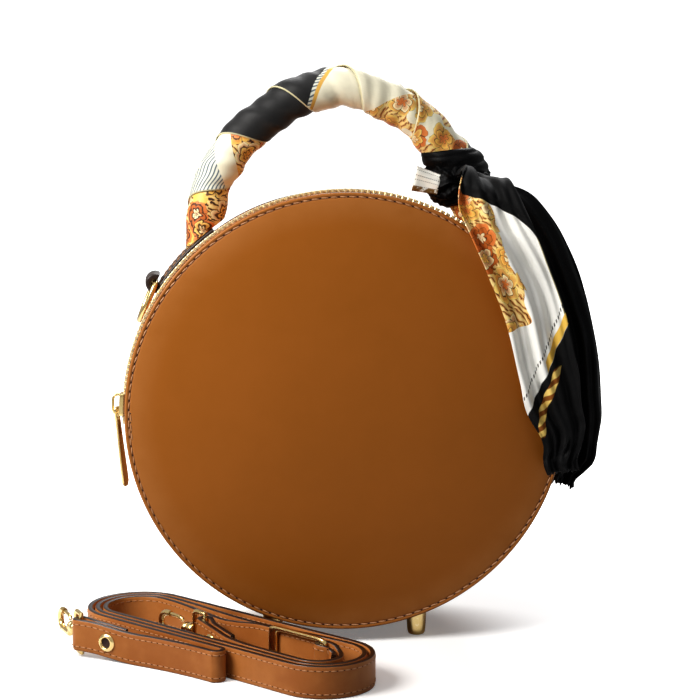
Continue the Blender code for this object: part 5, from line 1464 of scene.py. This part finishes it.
def build_buckle(base):
    """Rounded frame with a thick bar at its left end, and the peg that fills the strap's hole."""
    low_x, high_x = -BUCKLE_PLATE / 2, BUCKLE_LENGTH - BUCKLE_PLATE / 2
    inner_low, inner_high = BUCKLE_PLATE / 2, high_x - BUCKLE_BAR
    half_height = BUCKLE_HEIGHT / 2

    def place(u, v):
        turn, around = 2 * math.pi * u, 2 * math.pi * v
        x, z = power(math.cos(turn), 0.22), power(math.sin(turn), 0.22)
        outer = Vector(((low_x + high_x) / 2 + x * BUCKLE_LENGTH / 2, 0, half_height * (1 + z)))
        inner = Vector(((inner_low + inner_high) / 2 + x * (inner_high - inner_low) / 2, 0,
                        half_height + z * (half_height - BUCKLE_RAIL)))
        point = inner.lerp(outer, (power(math.cos(around), 0.6) + 1) / 2)
        point.y = BUCKLE_FRONT + power(math.sin(around), 0.6) * BUCKLE_DEPTH / 2
        return point
    bm = surface(240, 24, place, close=True)
    bmesh.ops.transform(bm, matrix=base, verts=bm.verts)
    peg_place = Vector((0, BUCKLE_FRONT + BUCKLE_DEPTH / 2 - 0.0005, 0))
    peg_matrix = base @ facing_matrix(peg_place, BACKWARD, strap_lift(BUCKLE_TURN) + STRAP_WIDTH / 2)
    lathed(bm, [(0, 0), (0.0011, 0), (0.0011, 0.0018), (0.0008, 0.0022), (0, 0.0022)], peg_matrix, 20)
    finish_piece("buckle_frame_metal", bm, [GOLD], "strap", ["buckle_frame"])


EYE_REACH, BOSS_LENGTH = 0.0075, 0.0040
HOOK_HALF, HOOK_REACH, HOOK_WIRE, GATE_WIRE = 0.0045, 0.0170, 0.0015, 0.0009
COLLAR_LENGTH = 0.0030


def build_hook(name, run, side, swing, group):
    """Snap hook: the eye in the strap's fold, the swivelling body and its sprung gate."""
    centre = fold_centre(run, side, EYE_FOLD)
    outward = outward_of(run)
    outward.rotate(Matrix.Rotation(swing, 3, "Z"))
    origin = Vector((centre.x, centre.y, run[0].z + STRAP_WIDTH / 2))
    axis = frame_matrix(UP.cross(outward), UP, outward, origin)

    def at(x, z):
        return origin + outward * x + Vector((0, 0, z))
    half, corner, reach = STRAP_WIDTH / 2 + STRAP_GAP + EYE_WIRE, 1.6 * EYE_WIRE, EYE_REACH
    outline = [(0, -half), (reach - corner, -half)]
    outline += [(reach - corner + corner * math.sin(a), -half + corner - corner * math.cos(a))
                for a in (0.4, 0.8, 1.2)] + [(reach, -half + corner), (reach, half - corner)]
    outline += [(reach - corner + corner * math.cos(a), half - corner + corner * math.sin(a))
                for a in (0.4, 0.8, 1.2)] + [(reach - corner, half), (0, half)]
    eye = bmesh.new()
    wire(eye, [at(x, z) for x, z in outline], EYE_WIRE, closed=True, sides=5)
    boss_end = reach + BOSS_LENGTH
    lathed(eye, [(0, reach), (0.0024, reach), (0.0030, reach + 0.0006), (0.0030, boss_end - 0.0004),
                 (0.0027, boss_end), (0, boss_end)], axis)
    finish_piece(name + "_eye_metal", eye, [GOLD], group + "_eye", [name + "_eye"])

    start = boss_end + GAP
    end = start + COLLAR_LENGTH
    wide, tip = HOOK_HALF, end + HOOK_REACH
    shank = [(end - 0.00075, 0), (end + 0.0008, -wide * 0.25), (end + 0.0015, -wide * 0.55),
             (end + 0.0022, -wide * 0.85), (end + 0.0034, -wide)]
    turns = [math.pi * (i / 24 - 0.5) for i in range(25)]
    bend = [(tip - wide + wide * math.cos(turn), wide * math.sin(turn)) for turn in turns]
    body = bmesh.new()
    wire(body, smooth_path([at(x, z) for x, z in shank + bend + [(tip - 1.5 * wide, wide)]], 2), HOOK_WIRE, sides=6)
    lathed(body, [(0, start), (0.0024, start), (0.0028, start + 0.0004), (0.0028, end - 0.0008), (0.0018, end),
                  (0, end)], axis)
    finish_piece(name + "_body_metal", body, [GOLD], group + "_body", [name + "_body"])

    hinge = end + GATE_WIRE + GAP
    gate = bmesh.new()
    points = [at(hinge, wide * 0.6), at(hinge + 0.0018, wide * 0.9), at(tip - 1.5 * wide - GAP, wide)]
    wire(gate, smooth_path(points, 5), GATE_WIRE, sides=5)
    finish_piece(name + "_gate_metal", gate, [GOLD], group + "_gate", [name + "_gate"])


def build_straps():
    """Both straps and their metal: the short one starts at the buckle's bar and ends inside the coil."""
    run = free_run() + coil_path(HANK_START, HANK_END)
    build_strap("strap_long", folded_end(run, 1, EYE_FOLD) + run, "strap_long")
    build_rivet("strap_rivet_long", run, 1, "strap_rivet_long")
    build_hook("snap_hook_a", run, 1, HOOK_A_SWING, "hook_a")
    base = hank_frame(BUCKLE_TURN)
    start = base @ Vector((BUCKLE_BAR_X, BUCKLE_FRONT + BUCKLE_FOLD, 0))
    start.z = strap_lift(HANK_END)
    middle = [start] + coil_path(SHORT_JOIN, SHORT_END)
    last = sum((b - a).length for a, b in zip(middle, middle[1:]))
    walked = 0.0
    for i, (a, b) in enumerate(zip(list(middle), middle[1:])):
        walked += (b - a).length
        middle[i + 1].z += EYE_LIFT * rise(walked, last - LIFT_LENGTH, last)
        middle[i + 1] -= OUTWARD * (0.007 * max(1 - (last - walked) / 0.050, 0.0) ** 2)
    back = middle[::-1]
    path = folded_end(middle, -1, BUCKLE_FOLD, 0.015) + middle + folded_end(back, 1, EYE_FOLD)[::-1]
    build_strap("strap_short", path, "strap_short")
    build_rivet("strap_rivet_short", back, 1, "strap_rivet_short")
    build_hook("snap_hook_b", back, 1, HOOK_B_SWING, "hook_b")
    build_buckle(base)


def dress_inside():
    """Linings, board and pocket keep their own meshes and get cloth and board finishes."""
    for node, mat in (("front_lining", LINING), ("back_lining", LINING), ("gusset_lining", LINING),
                      ("inner_pocket", LINING), ("base_board", BOARD)):
        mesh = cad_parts[node].data
        mesh.materials.clear()
        mesh.materials.append(mat)


def build_floor():
    """Pale floor that runs into white; it throws little of its own tone back at the bag."""
    bm = bmesh.new()
    bmesh.ops.create_grid(bm, x_segments=8, y_segments=8, size=4.0)
    mesh = bpy.data.meshes.new("floor")
    bm.to_mesh(mesh)
    bm.free()
    mat, tree, sockets = material("floor_white", 0.6, Specular_IOR_Level=0.1, Emission_Strength=1.0)
    place = object_coordinates(tree)
    rays = add(tree, "LightPath").outputs
    seen = rays["Is Camera Ray"]
    shown = calc(tree, "MAXIMUM", seen, rays["Is Glossy Ray"])
    pale = mixed(tree, cloud(tree, place, 3.0), grey(0.93), grey(0.95))
    feed(tree, sockets["Base Color"], mixed(tree, shown, grey(0.24), pale))
    away = add(tree, "VectorMath", {0: place}, operation="LENGTH").outputs["Value"]
    glow = mixed(tree, ease(tree, away, 0.12, 0.36), grey(0.16), grey(1.0))
    feed(tree, sockets["Emission Color"], mixed(tree, seen, grey(0.0), glow))
    mesh.materials.append(mat)
    floor = bpy.data.objects.new("floor", mesh)
    bpy.context.scene.collection.objects.link(floor)


def build_world():
    world = bpy.data.worlds.new("studio")
    bpy.context.scene.world = world
    world.use_nodes = True
    tree = world.node_tree
    background = tree.nodes["Background"]
    background.inputs["Color"].default_value = (1, 1, 1, 1)
    rays = add(tree, "LightPath").outputs
    shown = linear(tree, rays["Is Glossy Ray"], 0.35, times(tree, rays["Is Camera Ray"], 0.95))
    feed(tree, background.inputs["Strength"], plus(tree, shown, 0.1))


# The scene

bpy.context.scene.view_settings.view_transform = "Standard"
bpy.context.scene.view_settings.look = "Medium High Contrast"
set_camera()
build_world()
add_light("key", (-0.45, -0.25, 0.35), 0.35, 4.3, (1.0, 0.98, 0.95))
add_light("top", (0.0, -0.5, 1.3), 0.9, 3.2)
add_light("back", (0.3, 1.0, 1.2), 1.0, 22)
build_floor()
build_panel("front", -1)
build_panel("back", 1)
build_gusset()
build_zip()
build_slider()
build_pull()
build_feet()
build_handle_core()
build_tabs()
build_wrap()
build_knot()
build_tail("scarf_pale_tail_silk", "scarf_tail_pale", PALE_ROUTE, root_y=-0.0130, front_y=-0.0480, width=0.027,
           folds=2.0, turn_low=0.45, silk=PALE_SILK, seed=0.0, lap=0.0016)
build_tail("scarf_dark_tail_silk", "scarf_tail_dark", DARK_ROUTE, root_y=-0.0090, front_y=-0.0165, width=0.020,
           folds=1.6, turn_low=-0.55, silk=BLACK_SILK, seed=3.0)
build_straps()
dress_inside()
